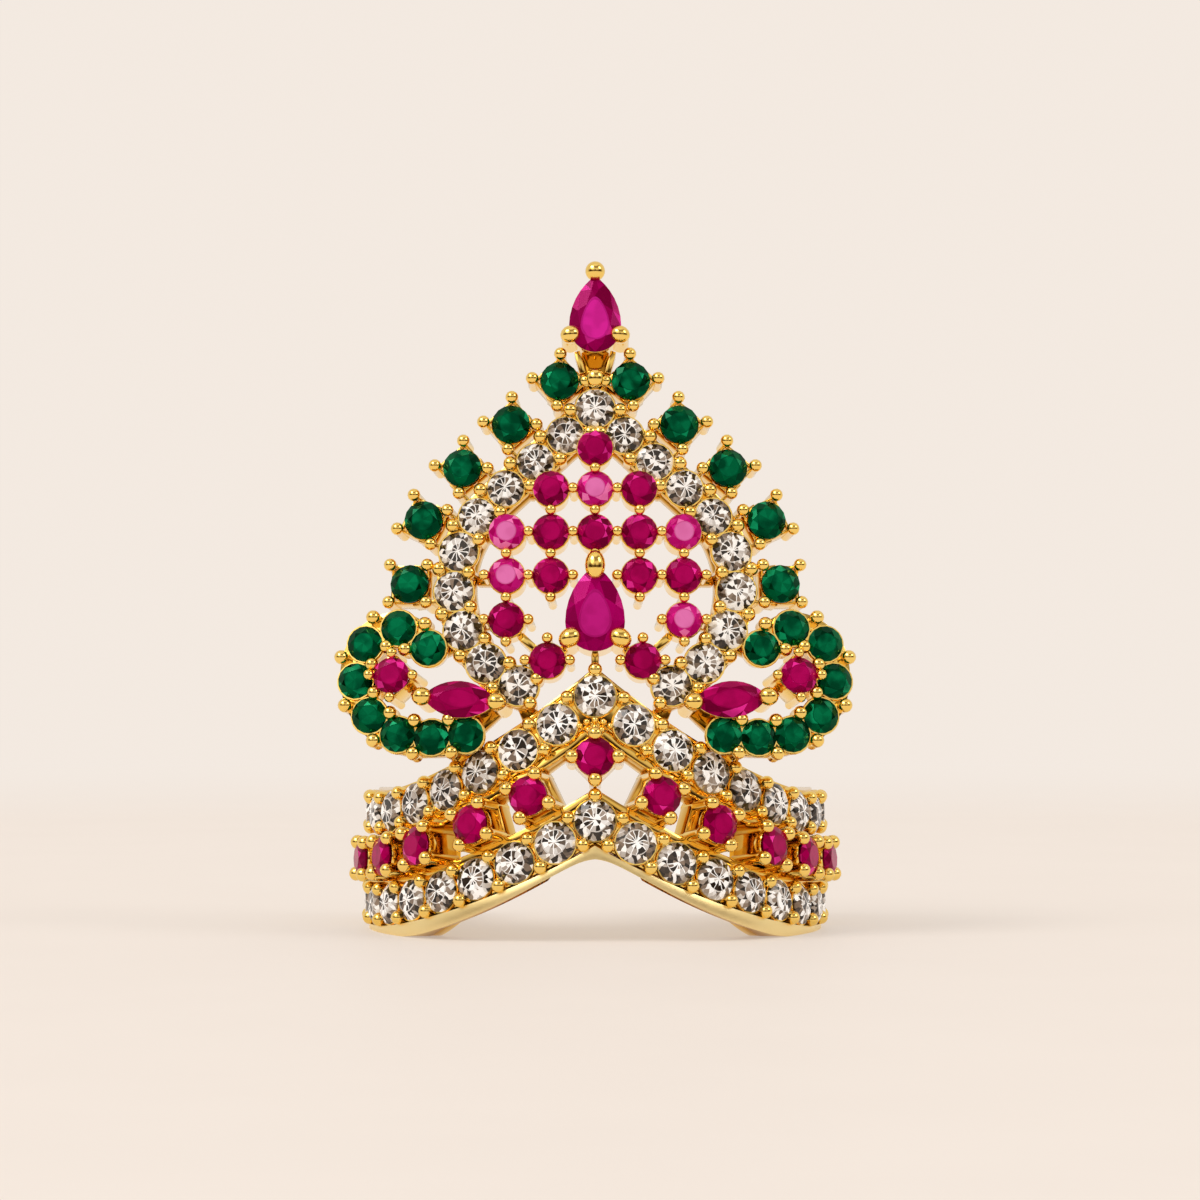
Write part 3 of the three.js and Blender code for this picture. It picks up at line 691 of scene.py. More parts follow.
def chance(tree, first, second, number):
    """A steady random value for each pair of whole numbers, different for each stone."""
    vector = node(tree, "ShaderNodeCombineXYZ")
    tree.links.new(first, vector.inputs[0])
    tree.links.new(second, vector.inputs[1])
    tree.links.new(maths(tree, "MULTIPLY", number, 91.0), vector.inputs[2])
    noise = node(tree, "ShaderNodeTexWhiteNoise", noise_dimensions="3D")
    tree.links.new(vector.outputs[0], noise.inputs[0])
    return noise.outputs["Value"]


def blended(tree, share, a, b):
    new = node(tree, "ShaderNodeMix", data_type="FLOAT")
    for index, value in ((0, share), (2, a), (3, b)):
        if isinstance(value, (int, float)):
            new.inputs[index].default_value = value
        else:
            tree.links.new(value, new.inputs[index])
    return new.outputs[0]


def soft_step(tree, value, low, high):
    step = node(tree, "ShaderNodeMapRange", interpolation_type="SMOOTHSTEP")
    step.inputs["From Min"].default_value = low
    step.inputs["From Max"].default_value = high
    tree.links.new(value, step.inputs["Value"])
    return step.outputs[0]


# the wedges and small facets are painted reflections
WEDGES, EDGE_FACETS = 13.0, 21.0  # bright wedges under a clear stone's table, and small facets round it


def sparkle_group():
    """A clear brilliant with its reflections painted in: dark and bright spokes and wedges under the table,
    small bright facets round it, and a painted glint glow on the brightest.
    """
    group = bpy.data.node_groups.new("brilliant sparkle", "ShaderNodeTree")
    for name in ("Dark", "Warm", "Light"):
        socket(group, name, "INPUT", "Color", (0.5, 0.5, 0.5, 1))
    socket(group, "Color", "OUTPUT", "Color")
    socket(group, "Painted glint glow", "OUTPUT", "Color")
    start, end = node(group, "NodeGroupInput"), node(group, "NodeGroupOutput")
    distance, turn, number = polar(group)
    place = node(group, "ShaderNodeTexCoord")
    ripple = node(group, "ShaderNodeTexNoise")
    ripple.inputs["Scale"].default_value = 1500.0
    ripple.inputs["Detail"].default_value = 1.0
    group.links.new(place.outputs["Object"], ripple.inputs["Vector"])
    ripple = maths(group, "SUBTRACT", ripple.outputs["Fac"], 0.5)
    turn = maths(group, "ADD", turn, maths(group, "MULTIPLY", ripple, 0.09))
    distance = maths(group, "ADD", distance, maths(group, "MULTIPLY", ripple, 0.12))
    wedge = maths(group, "MULTIPLY", turn, WEDGES)
    ring = maths(group, "FLOOR", maths(group, "MULTIPLY", distance, 3.4))
    inner = chance(group, maths(group, "FLOOR", wedge), ring, number)
    to_spoke = maths(group, "PINGPONG", wedge, 0.5)
    thin = maths(group, "MULTIPLY", distance, 7.0)
    spoke = maths(group, "LESS_THAN", maths(group, "MULTIPLY", to_spoke, thin), 0.32)
    kept = maths(group, "GREATER_THAN", chance(group, maths(group, "ROUND", wedge), number, number), 0.35)
    spoke = maths(group, "MULTIPLY", spoke, kept)
    inner = maths(group, "MAXIMUM", maths(group, "POWER", inner, 1.3), maths(group, "MULTIPLY", spoke, 0.9))
    swirl = maths(group, "MULTIPLY", distance, 0.14)
    ahead, behind = maths(group, "ADD", turn, swirl), maths(group, "SUBTRACT", turn, swirl)
    left = maths(group, "FLOOR", maths(group, "MULTIPLY", ahead, EDGE_FACETS))
    right = maths(group, "FLOOR", maths(group, "MULTIPLY", behind, EDGE_FACETS))
    outer = chance(group, left, right, number)
    edge = maths(group, "LESS_THAN", maths(group, "ABSOLUTE", maths(group, "SUBTRACT", distance, 0.6)), 0.025)
    outer = maths(group, "MAXIMUM", outer, maths(group, "MULTIPLY", edge, 0.72))
    beyond = maths(group, "GREATER_THAN", distance, 0.57)
    value = blended(group, beyond, inner, outer)
    colour = mixed(group, soft_step(group, value, 0.2, 0.52), start.outputs["Dark"], start.outputs["Warm"])
    colour = mixed(group, soft_step(group, value, 0.5, 0.84), colour, start.outputs["Light"])
    group.links.new(colour, end.inputs["Color"])
    # painted glints: the brightest painted facets also glow
    bright = maths(group, "GREATER_THAN", value, 0.8)
    group.links.new(mixed(group, bright, (0, 0, 0, 1), start.outputs["Light"]), end.inputs["Painted glint glow"])
    return group


def depth_group():
    """A coloured stone: an even table with a soft edge, crown facets that differ in tone as painted
    reflections, painted glints on a share of them, and soft darker blotches.
    """
    group = bpy.data.node_groups.new("stone depth", "ShaderNodeTree")
    for name in ("Table", "Dark", "Middle", "Light"):
        socket(group, name, "INPUT", "Color", (0.5, 0.5, 0.5, 1))
    socket(group, "Calm", "INPUT", "Float", 0.8)
    socket(group, "Glint share", "INPUT", "Float", 0.1)
    socket(group, "Clouds", "INPUT", "Float", 0.2)
    socket(group, "Color", "OUTPUT", "Color")
    start, end = node(group, "NodeGroupInput"), node(group, "NodeGroupOutput")
    distance, turn, number = polar(group)
    tone = noted(group, "tone")
    wedge = chance(group, maths(group, "FLOOR", maths(group, "MULTIPLY", turn, 8.0)), number, number)
    unrest = maths(group, "SUBTRACT", 1.0, start.outputs["Calm"])
    play = maths(group, "MULTIPLY", maths(group, "SUBTRACT", wedge, 0.5), unrest)
    share = maths(group, "ADD", play, 0.5, clamp=True)
    table = mixed(group, share, start.outputs["Dark"], start.outputs["Light"])
    calm_table = mixed(group, start.outputs["Calm"], table, start.outputs["Table"])
    ramp = node(group, "ShaderNodeValToRGB")
    stops = ramp.color_ramp.elements
    stops[0].position, stops[0].color = 0.1, (0, 0, 0, 1)
    stops[1].position, stops[1].color = 0.75, (1, 1, 1, 1)
    group.links.new(tone, ramp.inputs[0])
    crown = mixed(group, ramp.outputs[0], start.outputs["Dark"], start.outputs["Middle"])
    # painted glints: a share of the crown facets take the light colour
    painted_glint = maths(group, "GREATER_THAN", tone, maths(group, "SUBTRACT", 1.0, start.outputs["Glint share"]))
    crown = mixed(group, painted_glint, crown, start.outputs["Light"])
    rim = maths(group, "LESS_THAN", maths(group, "ABSOLUTE", maths(group, "SUBTRACT", distance, 0.53)), 0.03)
    beyond = maths(group, "GREATER_THAN", distance, 0.56)
    colour = mixed(group, beyond, calm_table, crown)
    place = node(group, "ShaderNodeTexCoord")
    drift = node(group, "ShaderNodeTexNoise")
    drift.inputs["Scale"].default_value = 850.0
    drift.inputs["Detail"].default_value = 1.0
    group.links.new(place.outputs["Object"], drift.inputs["Vector"])
    # soft darker blotches over the stone
    blotch = soft_step(group, drift.outputs["Fac"], 0.42, 0.66)
    blotch = maths(group, "MULTIPLY", blotch, start.outputs["Clouds"])
    colour = mixed(group, blotch, colour, start.outputs["Dark"])
    colour = mixed(group, maths(group, "MULTIPLY", rim, 0.35), colour, start.outputs["Dark"])
    group.links.new(colour, end.inputs["Color"])
    return group


def polish_and_shade_group():
    """Polish of plated metal: soft drifts of tone, hairline marks and a little waviness, and painted shade
    that darkens the metal in its recesses.
    """
    group = bpy.data.node_groups.new("plate polish and painted shade", "ShaderNodeTree")
    socket(group, "Tone", "INPUT", "Color", (0.9, 0.6, 0.2, 1))
    socket(group, "Deep tone", "INPUT", "Color", (0.7, 0.4, 0.1, 1))
    socket(group, "Recess tone", "INPUT", "Color", (0.3, 0.15, 0.02, 1))
    socket(group, "Gloss", "INPUT", "Float", 0.1)
    socket(group, "Marks", "INPUT", "Float", 0.1)
    socket(group, "Color", "OUTPUT", "Color")
    socket(group, "Roughness", "OUTPUT", "Float")
    socket(group, "Height", "OUTPUT", "Float")
    start, end = node(group, "NodeGroupInput"), node(group, "NodeGroupOutput")
    place = node(group, "ShaderNodeTexCoord")
    drift = node(group, "ShaderNodeTexNoise")
    drift.inputs["Scale"].default_value = 260.0
    drift.inputs["Detail"].default_value = 3.0
    group.links.new(place.outputs["Object"], drift.inputs["Vector"])
    stretch = node(group, "ShaderNodeMapping")
    stretch.inputs["Scale"].default_value = (900.0, 900.0, 5200.0)
    group.links.new(place.outputs["Object"], stretch.inputs["Vector"])
    hair = node(group, "ShaderNodeTexNoise")
    hair.inputs["Scale"].default_value = 1.0
    hair.inputs["Detail"].default_value = 4.0
    group.links.new(stretch.outputs[0], hair.inputs["Vector"])
    share = maths(group, "MULTIPLY", drift.outputs["Fac"], 0.8, clamp=True)
    plating = mixed(group, share, start.outputs["Tone"], start.outputs["Deep tone"])
    # painted shade: the deeper a corner lies, the more the metal turns to the recess colour, a little
    # unevenly
    spots = maths(group, "ADD", 0.65, maths(group, "MULTIPLY", drift.outputs["Fac"], 0.5))
    recess_shade = maths(group, "MULTIPLY", noted(group, "deep"), spots, clamp=True)
    group.links.new(mixed(group, recess_shade, plating, start.outputs["Recess tone"]), end.inputs["Color"])
    marks = maths(group, "MULTIPLY", hair.outputs["Fac"], start.outputs["Marks"])
    group.links.new(maths(group, "ADD", start.outputs["Gloss"], marks), end.inputs["Roughness"])
    waves = maths(group, "ADD", drift.outputs["Fac"], maths(group, "MULTIPLY", hair.outputs["Fac"], 0.15))
    group.links.new(waves, end.inputs["Height"])
    return group


SPARKLE = sparkle_group()
DEPTH = depth_group()
POLISH_AND_SHADE = polish_and_shade_group()


def material(name):
    mat = bpy.data.materials.new(name)
    mat.use_nodes = True
    return mat, mat.node_tree, mat.node_tree.nodes["Principled BSDF"]


def use_group(tree, group, **values):
    placed_group = node(tree, "ShaderNodeGroup", node_tree=group)
    for key, value in values.items():
        placed_group.inputs[key.replace("_", " ")].default_value = value
    return placed_group


def clear_stone(name, dark, warm, light):
    mat, tree, shader = material(name)
    play = use_group(tree, SPARKLE, Dark=dark, Warm=warm, Light=light)
    tree.links.new(play.outputs["Color"], shader.inputs["Base Color"])
    # the brightest painted facets glow a little, as painted glints
    tree.links.new(play.outputs["Painted glint glow"], shader.inputs["Emission Color"])
    shader.inputs["Emission Strength"].default_value = 0.2
    shader.inputs["Roughness"].default_value = 0.04
    shader.inputs["IOR"].default_value = 1.5
    return mat


def coloured_stone(name, table, dark, middle, light, calm, painted_glints, blotches, sheen):
    mat, tree, shader = material(name)
    play = use_group(tree, DEPTH, Table=table, Dark=dark, Middle=middle, Light=light,
                     Calm=calm, Glint_share=painted_glints, Clouds=blotches)
    tree.links.new(play.outputs["Color"], shader.inputs["Base Color"])
    shader.inputs["Roughness"].default_value = 0.06
    shader.inputs["IOR"].default_value = 1.5
    shader.inputs["Specular IOR Level"].default_value = 0.4
    shader.inputs["Specular Tint"].default_value = sheen
    return mat


def gold_material(name, tone, deep_tone, gloss, marks):
    mat, tree, shader = material(name)
    # painted shade: the metal turns dark amber where it lies deep in the work
    polish = use_group(tree, POLISH_AND_SHADE, Tone=tone, Deep_tone=deep_tone,
                       Recess_tone=(0.6, 0.27, 0.012, 1), Gloss=gloss, Marks=marks)
    bump = node(tree, "ShaderNodeBump")
    bump.inputs["Strength"].default_value = 0.12
    bump.inputs["Distance"].default_value = 0.00006
    tree.links.new(polish.outputs["Color"], shader.inputs["Base Color"])
    tree.links.new(polish.outputs["Roughness"], shader.inputs["Roughness"])
    tree.links.new(polish.outputs["Height"], bump.inputs["Height"])
    tree.links.new(bump.outputs[0], shader.inputs["Normal"])
    shader.inputs["Metallic"].default_value = 1.0
    return mat


GOLD = gold_material(
    "gold plate", tone=(1.0, 0.74, 0.23, 1), deep_tone=(0.96, 0.6, 0.1, 1), gloss=0.05, marks=0.07)
SATIN_GOLD = gold_material(
    "satin gold of the rim", tone=(1.0, 0.82, 0.42, 1), deep_tone=(1.0, 0.76, 0.32, 1), gloss=0.3, marks=0.12)
WHITE = clear_stone(
    "white stone", dark=(0.02, 0.013, 0.008, 1), warm=(0.3, 0.22, 0.16, 1), light=(0.95, 0.94, 0.92, 1))
HALO_WHITE = clear_stone(
    "white stone of the plume", dark=(0.02, 0.012, 0.006, 1), warm=(0.24, 0.165, 0.11, 1),
    light=(0.85, 0.82, 0.78, 1))
RUBY_SHEEN, EMERALD_SHEEN = (1.0, 0.02, 0.4, 1), (0.0, 1.0, 0.4, 1)
# each stone's light colour also paints its glints
RUBY = coloured_stone(
    "ruby", table=(0.38, 0.0, 0.072, 1), dark=(0.13, 0.0, 0.018, 1), middle=(0.42, 0.0, 0.09, 1),
    light=(0.85, 0.03, 0.34, 1), calm=0.85, painted_glints=0.1, blotches=0.35, sheen=RUBY_SHEEN)
PINK_RUBY = coloured_stone(
    "pink ruby", table=(0.78, 0.2, 0.5, 1), dark=(0.38, 0.0, 0.1, 1), middle=(0.6, 0.01, 0.22, 1),
    light=(0.9, 0.2, 0.5, 1), calm=0.8, painted_glints=0.15, blotches=0.15, sheen=RUBY_SHEEN)
PEAR_RUBY = coloured_stone(
    "pear ruby", table=(0.5, 0.01, 0.2, 1), dark=(0.2, 0.0, 0.045, 1), middle=(0.38, 0.0, 0.11, 1),
    light=(0.8, 0.06, 0.42, 1), calm=0.9, painted_glints=0.1, blotches=0.2, sheen=RUBY_SHEEN)
TOP_RUBY = coloured_stone(
    "top ruby", table=(0.7, 0.02, 0.34, 1), dark=(0.16, 0.0, 0.03, 1), middle=(0.34, 0.0, 0.09, 1),
    light=(0.6, 0.02, 0.26, 1), calm=0.9, painted_glints=0.1, blotches=0.2, sheen=RUBY_SHEEN)
EMERALD = coloured_stone(
    "emerald", table=(0.0, 0.085, 0.027, 1), dark=(0.0, 0.007, 0.002, 1), middle=(0.0, 0.085, 0.026, 1),
    light=(0.005, 0.27, 0.11, 1), calm=0.5, painted_glints=0.12, blotches=0.8, sheen=EMERALD_SHEEN)


def dressed(obj, mat):
    obj.data.materials.clear()
    obj.data.materials.append(mat)
    return obj


def handed_in(obj, slot, *nodes):
    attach(obj, "root")
    if nodes:
        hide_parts(*nodes)
    return obj


# ------------------------------------------------------------------ rows of stones


def set_row(name, sheet, stones, beads, kind, mat, strip, slot, seed):
    """One body of stones, collets, beads and the strip they stand on."""
    size = STONE[kind]
    rings = {}
    gold = [strip]
    gems = []
    rng = random.Random(seed)
    for k, place in enumerate(stones):
        spin = place["outward"] + rng.uniform(-0.3, 0.3)
        radius = place.get("radius", size["radius"])
        if radius not in rings:
            rings[radius] = collet(radius, size["lift"] - 0.04, STRIP["low"])
        gold.append(copy_at(rings[radius], seat(sheet, place["at"], spin)))
        tip = (rng.uniform(-0.04, 0.04), rng.uniform(-0.04, 0.04))
        gems.append(stone_at(seat(sheet, place["at"], spin, size["lift"], tip), radius, seed * 100 + k))
    for at, out in beads:
        gold.append(copy_at(BEAD, seat(sheet, at, 0.0, out)))
    drop(*rings.values())
    metal = dressed(joined("metal", gold), GOLD)
    bright = dressed(joined("stones", gems), mat)
    return handed_in(joined(name, [bright, metal]), slot, name)


def band_strip(row):
    """The bent strip under a row, laid out as a grid that follows the row."""
    steps = 96
    end = ROW_END + 1.5
    bpy.ops.mesh.primitive_grid_add(x_subdivisions=steps, y_subdivisions=2, size=2)
    obj = made("strip")
    for corner in obj.data.vertices:
        along = corner.co.x * end
        height = row_height(row, along) + corner.co.y * climb(row, along, STRIP["half"])
        corner.co = (along, height, STRIP["high"])
    finish_with(obj, "SOLIDIFY", thickness=STRIP["high"] - STRIP["low"], offset=-1)
    soften(obj, 0.12, 2)
    smooth(obj, 40)
    return bend(obj, BAND)


def band_row(name, row, seed):
    stones = row_places(row, range(ROW_STONES))
    between = row_places(row, [k + 0.5 for k in range(ROW_STONES - 1)])
    beads = [(moved(place, edge * ACROSS), 0.0) for place in between for edge in SIDES
             if not (row is UPPER and edge < 0 and abs(place["at"][0]) < 3)]
    for place in (stones[0], stones[-1]):
        side = math.copysign(1.0, place["at"][0])
        for edge in SIDES:
            beads.append(((place["at"][0] + side * 1.25, place["at"][1] + edge * 1.1), 0.0))
    crest = 1.95 if row is UPPER else 1.85
    beads.append(((0.0, row_height(row, 0) + crest), 0.0))
    return set_row(name, BAND, stones, beads, "white", WHITE, band_strip(row), "white_stone", seed)


def leaf_path(steps, end):
    return [leaf_place(length) for length in spread(0, end, steps)]


def both_halves(obj):
    other = copy_at(obj, Matrix.Scale(-1, 4, (1, 0, 0)))
    return joined(obj.name, [obj, other])


def halo_row():
    each = (HALO_STONES - 1) // 2
    pitch = LEAF["half"] / each
    stones = [{"at": (0.0, LEAF["tip"]), "outward": math.pi / 2}]
    beads = []
    for k in range(1, each + 1):
        place = leaf_place(k * pitch)
        between = leaf_place((k - 0.5) * pitch)
        for side in SIDES:
            turn = facing(place["outward"], side)
            radius = HALO_SMALL if k <= HALO_SMALL_ONES else STONE["halo"]["radius"]
            stones.append({"at": mirrored(place["at"], side), "outward": turn, "radius": radius})
            for edge in SIDES:
                beads.append((mirrored(moved(between, edge * ACROSS), side), 0.0))
    last = leaf_place(LEAF["half"] + 1.2)
    for side in SIDES:
        for edge in SIDES:
            beads.append((mirrored(moved(last, edge * 0.95), side), 0.0))
    path = leaf_path(LEAF_STEPS, LEAF_END)
    strip = both_halves(ribbon("strip", path, STRIP["half"], STRIP["low"], STRIP["high"], 2))
    soften(strip, 0.1, 2)
    smooth(strip, 40)
    return set_row("halo_stone_row", PLUME, stones, beads, "halo", HALO_WHITE, bend(strip, PLUME),
                   "white_stone", 3)


def wing_row(side):
    stones, beads = [], []
    for k in range(len(WING)):
        place = wing_place(k)
        turn = facing(place["outward"], side)
        stones.append({"at": mirrored(place["at"], side), "outward": turn})
        if k:
            between = wing_place(k - 0.5)
            for edge in SIDES:
                beads.append((mirrored(moved(between, edge * (ACROSS + 0.08)), side), WING_LIFT))
    path = [wing_place(count) for count in spread(0, len(WING) - 1, WING_STEPS)]
    strip = ribbon("strip", path, STRIP["half"] - 0.1, STRIP["low"], STRIP["high"] + WING_LIFT, 2)
    if side < 0:
        other = copy_at(strip, Matrix.Scale(-1, 4, (1, 0, 0)))
        drop(strip)
        strip = other
    soften(strip, 0.1, 2)
    smooth(strip, 40)
    return set_row(f"wing_emerald_row_{side_name(side)}", PLUME, stones, beads, "wing_emerald", EMERALD,
                   bend(strip, PLUME), "emerald_stone", 5 + side)


band_row("upper_stone_row", UPPER, 1)
band_row("lower_stone_row", LOWER, 2)
halo_row()
for side in SIDES:
    wing_row(side)

# ------------------------------------------------------------------ single stones


def spike_places():
    return [leaf_place(SPIKE["start"] + k * SPIKE["pitch"], SPIKE["offset"]) for k in range(SPIKE["count"])]


def ruby_place(side, k):
    along = side * math.radians(RUBY_TURNS[k]) * BAND["radius"]
    spin = math.atan(row_slope(RUBIES, along)) if k else math.pi / 4
    return (along, row_height(RUBIES, along)), spin


def single(name, sheet, at, kind, mat, slot, spin=0.0, tip=(0.0, 0.0)):
    size = STONE[kind]
    obj = stone_at(seat(sheet, at, spin, size["lift"], tip), size["radius"], name)
    obj.name = name
    dressed(obj, mat)
    return handed_in(obj, slot, name)


def long_stone(name, kind, at, outline, mat, spin=0.0):
    obj = stone_at(seat(PLUME, at, spin, LONG[kind]["lift"]), 1.0, name, outline)
    obj.name = name
    dressed(obj, mat)
    return handed_in(obj, "ruby_stone", name)


tilt = random.Random(11)


def small_tip():
    return (tilt.uniform(-0.05, 0.05), tilt.uniform(-0.05, 0.05))


for k in range(len(RUBY_TURNS)):
    for side in SIDES if k else (1,):
        at, spin = ruby_place(side, k)
        name = f"band_ruby_{side_name(side)}_{k}" if k else "band_ruby_middle"
        single(name, BAND, at, "band_ruby", RUBY, "ruby_stone", spin, small_tip())
PINK_ONES = (
    "lattice_ruby_2_2", "lattice_ruby_3_1", "lattice_ruby_3_5", "lattice_ruby_4_1", "lattice_ruby_5_2",
)
lattice_seats = []
for row, (height, columns) in enumerate(LATTICE):
    for n, column in enumerate(columns):
        at = (column * LATTICE_PITCH, height)
        lattice_seats.append(at)
        name = f"lattice_ruby_{row + 1}_{n + 1}"
        red = PINK_RUBY if name in PINK_ONES else RUBY
        single(name, PLUME, at, "lattice_ruby", red, "ruby_stone", 0.0, small_tip())
for side in SIDES:
    for k, place in enumerate(spike_places()):
        name = f"spike_emerald_{side_name(side)}_{k + 1}"
        at = mirrored(place["at"], side)
        spin = side * place["outward"]
        single(name, PLUME, at, "spike_emerald", EMERALD, "emerald_stone", spin, small_tip())
    name = f"wing_ruby_{side_name(side)}"
    single(name, PLUME, mirrored(WING_RUBY, side), "wing_ruby", RUBY, "ruby_stone", 0.0, small_tip())
    long_stone(f"wing_marquise_{side_name(side)}", "marquise", mirrored(MARQUISE, side),
               marquise_outline(LONG["marquise"]), RUBY, side * MARQUISE_TILT)
long_stone("top_pear", "top_pear", TOP_PEAR, pear_outline(LONG["top_pear"]), TOP_RUBY)
long_stone("middle_pear", "middle_pear", MIDDLE_PEAR, pear_outline(LONG["middle_pear"]), PEAR_RUBY)

# ------------------------------------------------------------------ gold frame


def band_wall():
    """The wall of the band with its windows, as a grid with faces taken out and given thickness."""
    steps = 192
    corner_radius = UPPER["base"]

    def roof(along):
        past = max(0.0, abs(along) - (BAND_END - corner_radius))
        rounded = corner_radius - math.sqrt(max(0.0, corner_radius**2 - past**2))
        return row_height(UPPER, along) + climb(UPPER, along, 1.6) - 0.9 * rounded

    def levels(along):
        rim = max(0.0, rim_height(along))
        top = roof(along)
        sill = min(row_height(LOWER, along) + climb(LOWER, along, RAIL), top)
        lintel = min(max(row_height(UPPER, along) - climb(UPPER, along, RAIL), sill), top)
        return (rim + min(0.8, rim), sill, lintel, top)

    bpy.ops.mesh.primitive_grid_add(x_subdivisions=steps, y_subdivisions=3, size=2)
    wall = made("band wall")
    for corner in wall.data.vertices:
        along = corner.co.x * BAND_END
        corner.co = (along, levels(along)[round((corner.co.y + 1) * 1.5)], BAND_FACE)

    def pierced(centre, _normal):
        _, sill, lintel, _ = levels(centre.x)
        return abs(centre.x) < WINDOWS_END and sill < centre.y < lintel

    choose(wall)
    pick_faces(pierced)
    bpy.ops.mesh.delete(type="FACE")
    bpy.ops.object.mode_set(mode="OBJECT")
    finish_with(wall, "SOLIDIFY", thickness=BAND_FACE - BAND_BACK, offset=-1)
    tidy(wall)
    soften(wall, 0.16, 2, 50)
    smooth(wall, 40)

    bpy.ops.mesh.primitive_grid_add(x_subdivisions=steps, y_subdivisions=2, size=2)
    lip = made("lip")
    for corner in lip.data.vertices:
        along = corner.co.x * LIP_END
        low = max(0.0, rim_height(along))
        top = row_height(LOWER, along) - climb(LOWER, along, LIP_DROP)
        corner.co = (along, low + (top - low) * (corner.co.y + 1) / 2, LIP_OUT)
    finish_with(lip, "SOLIDIFY", thickness=LIP_OUT - BAND_FACE + 0.3, offset=-1)
    for corner in lip.data.vertices:
        low = rim_height(corner.co.x)
        if corner.co.z < LIP_OUT - 1 and corner.co.y < low + 0.3:
            corner.co.y += min(0.5, max(0.0, low))
    soften(lip, 0.13, 2, 50)
    smooth(lip, 50)
    # satin on the outer faces of the lip, polished metal on its inner ones
    lip.data.materials.append(SATIN_GOLD)
    lip.data.materials.append(GOLD)
    for face in lip.data.polygons:
        face.material_index = 1 if face.center.z < LIP_OUT - 1 else 0
    lip = bend(lip, BAND, ROW_END)
    parts = [bend(wall, BAND, ROW_END + 2.2)]
    parts.append(rail("upper rail", UPPER, -1, ROW_END + 1.4, RAIL_TOP))
    parts.append(rail("lower rail", LOWER, 1, ROW_END + 1.4, RAIL_TOP))
    parts.append(rail("top rail", UPPER, 1, ROW_END + 1.4, RAIL_TOP, 1.66, 0.16))
    for part in [*parts, lip]:
        for corner in part.data.vertices:
            corner.co.z = max(corner.co.z, 0.0)
    return parts, lip


def band_heads():
    lift = STONE["band_ruby"]["lift"]
    through = head(BAND_HEAD["corner"], BAND_HEAD["claw"], lift, BAND_BACK + 0.15)
    standing = head(BAND_HEAD["corner"], BAND_HEAD["claw"], lift, BAND_FACE - 0.3)
    saddle = plate(1.66, BAND_BACK + 0.1, BAND_FACE + 0.6, 0.16)
    ring = collet(STONE["band_ruby"]["radius"] - 0.12, lift - 0.2, lift - 1.2)
    parts = []
    for k in range(len(RUBY_TURNS)):
        for side in SIDES if k else (1,):
            at, spin = ruby_place(side, k)
            model = through if abs(at[0]) < WINDOWS_END else standing
            parts.append(copy_at(model, seat(BAND, at, spin)))
            parts.append(copy_at(ring, seat(BAND, at, spin)))
            if k and abs(at[0]) < WINDOWS_END:
                parts.append(copy_at(saddle, seat(BAND, at, spin)))
    cluster = plate(0.85, BAND_BACK + 0.1, -0.45, 0.2)
    parts.append(copy_at(cluster, seat(BAND, (0, 16.1), math.pi / 4)))
    for along, height in APEX_GRAINS:
        parts.append(copy_at(TINY_BEAD, seat(BAND, (along, height))))
    drop(cluster, through, standing, saddle, ring)
    return parts


def rail(name, row, edge, end, top, middle=RAIL_MIDDLE, half=RAIL_HALF):
    """A raised edge along one side of a row of stones, between its beads and the windows."""
    steps = 96
    bpy.ops.mesh.primitive_grid_add(x_subdivisions=steps, y_subdivisions=1, size=2)
    obj = made(name)
    for corner in obj.data.vertices:
        along = corner.co.x * end
        across = edge * (middle + corner.co.y * half)
        height = row_height(row, along) + math.copysign(climb(row, along, abs(across)), across)
        corner.co = (along, height, top)
    tidy(obj)
    if obj.data.polygons[0].normal.z < 0:
        obj.data.flip_normals()
    finish_with(obj, "SOLIDIFY", thickness=top - BAND_BACK - 0.1, offset=-1)
    soften(obj, 0.13, 2, 50)
    smooth(obj, 45)
    return bend(obj, BAND)


def lattice_metal():
    lift = STONE["lattice_ruby"]["lift"]
    ring = collet(STONE["lattice_ruby"]["radius"] - 0.06, lift - 0.12, GALLERY["low"])
    parts = [copy_at(ring, seat(PLUME, at)) for at in lattice_seats]
    drop(ring)
    claws = []
    for along, height in lattice_seats:
        for x, z in ((1, 0), (-1, 0), (0, 1), (0, -1)):
            at = [along + x * LATTICE_PITCH / 2, height + z * LATTICE_PITCH / 2]
            shared = next((other for other in claws if apart(other, at) < 0.5), None)
            if shared:
                shared[1] = (shared[1] + at[1]) / 2
            else:
                claws.append(at)
    path = leaf_path(40, LEAF_END)
    for at in claws:
        gap = min(apart(place["at"], (abs(at[0]), at[1])) for place in path)
        if gap > 1.75:
            parts.append(copy_at(LATTICE_BEAD, seat(PLUME, at)))
    return parts


def long_head(at, kind, outline, spin, claws):
    """A gallery that follows a long stone's outline, with big claws.

    Each claw is given by its turn in degrees, its radius and how far it is drawn out.
    """
    size = LONG[kind]
    top = size["lift"] - 0.16
    section = [
        (0.9, top - 0.1), (0.94, top), (0.99, top - 0.06), (0.98, top - 0.55), (0.9, GALLERY["low"]),
        (0.72, GALLERY["low"]), (0.75, top - 0.7), (0.9, top - 0.1),
    ]
    ring = lathed("gallery", section, 32)
    reshaped(ring, outline)
    tidy(ring)
    smooth(ring, 40)
    parts = [copy_at(ring, seat(PLUME, at, spin))]
    drop(ring)
    for degrees, radius, long in claws:
        edge = outline(math.radians(degrees))
        claw = fat_claw(radius, size["lift"], GALLERY["low"], long)
        own = Matrix.Translation((edge.x, edge.y, 0)) @ Matrix.Rotation(math.atan2(edge.y, edge.x), 4, "Z")
        parts.append(copy_at(claw, seat(PLUME, at, spin) @ own))
        drop(claw)
    return parts


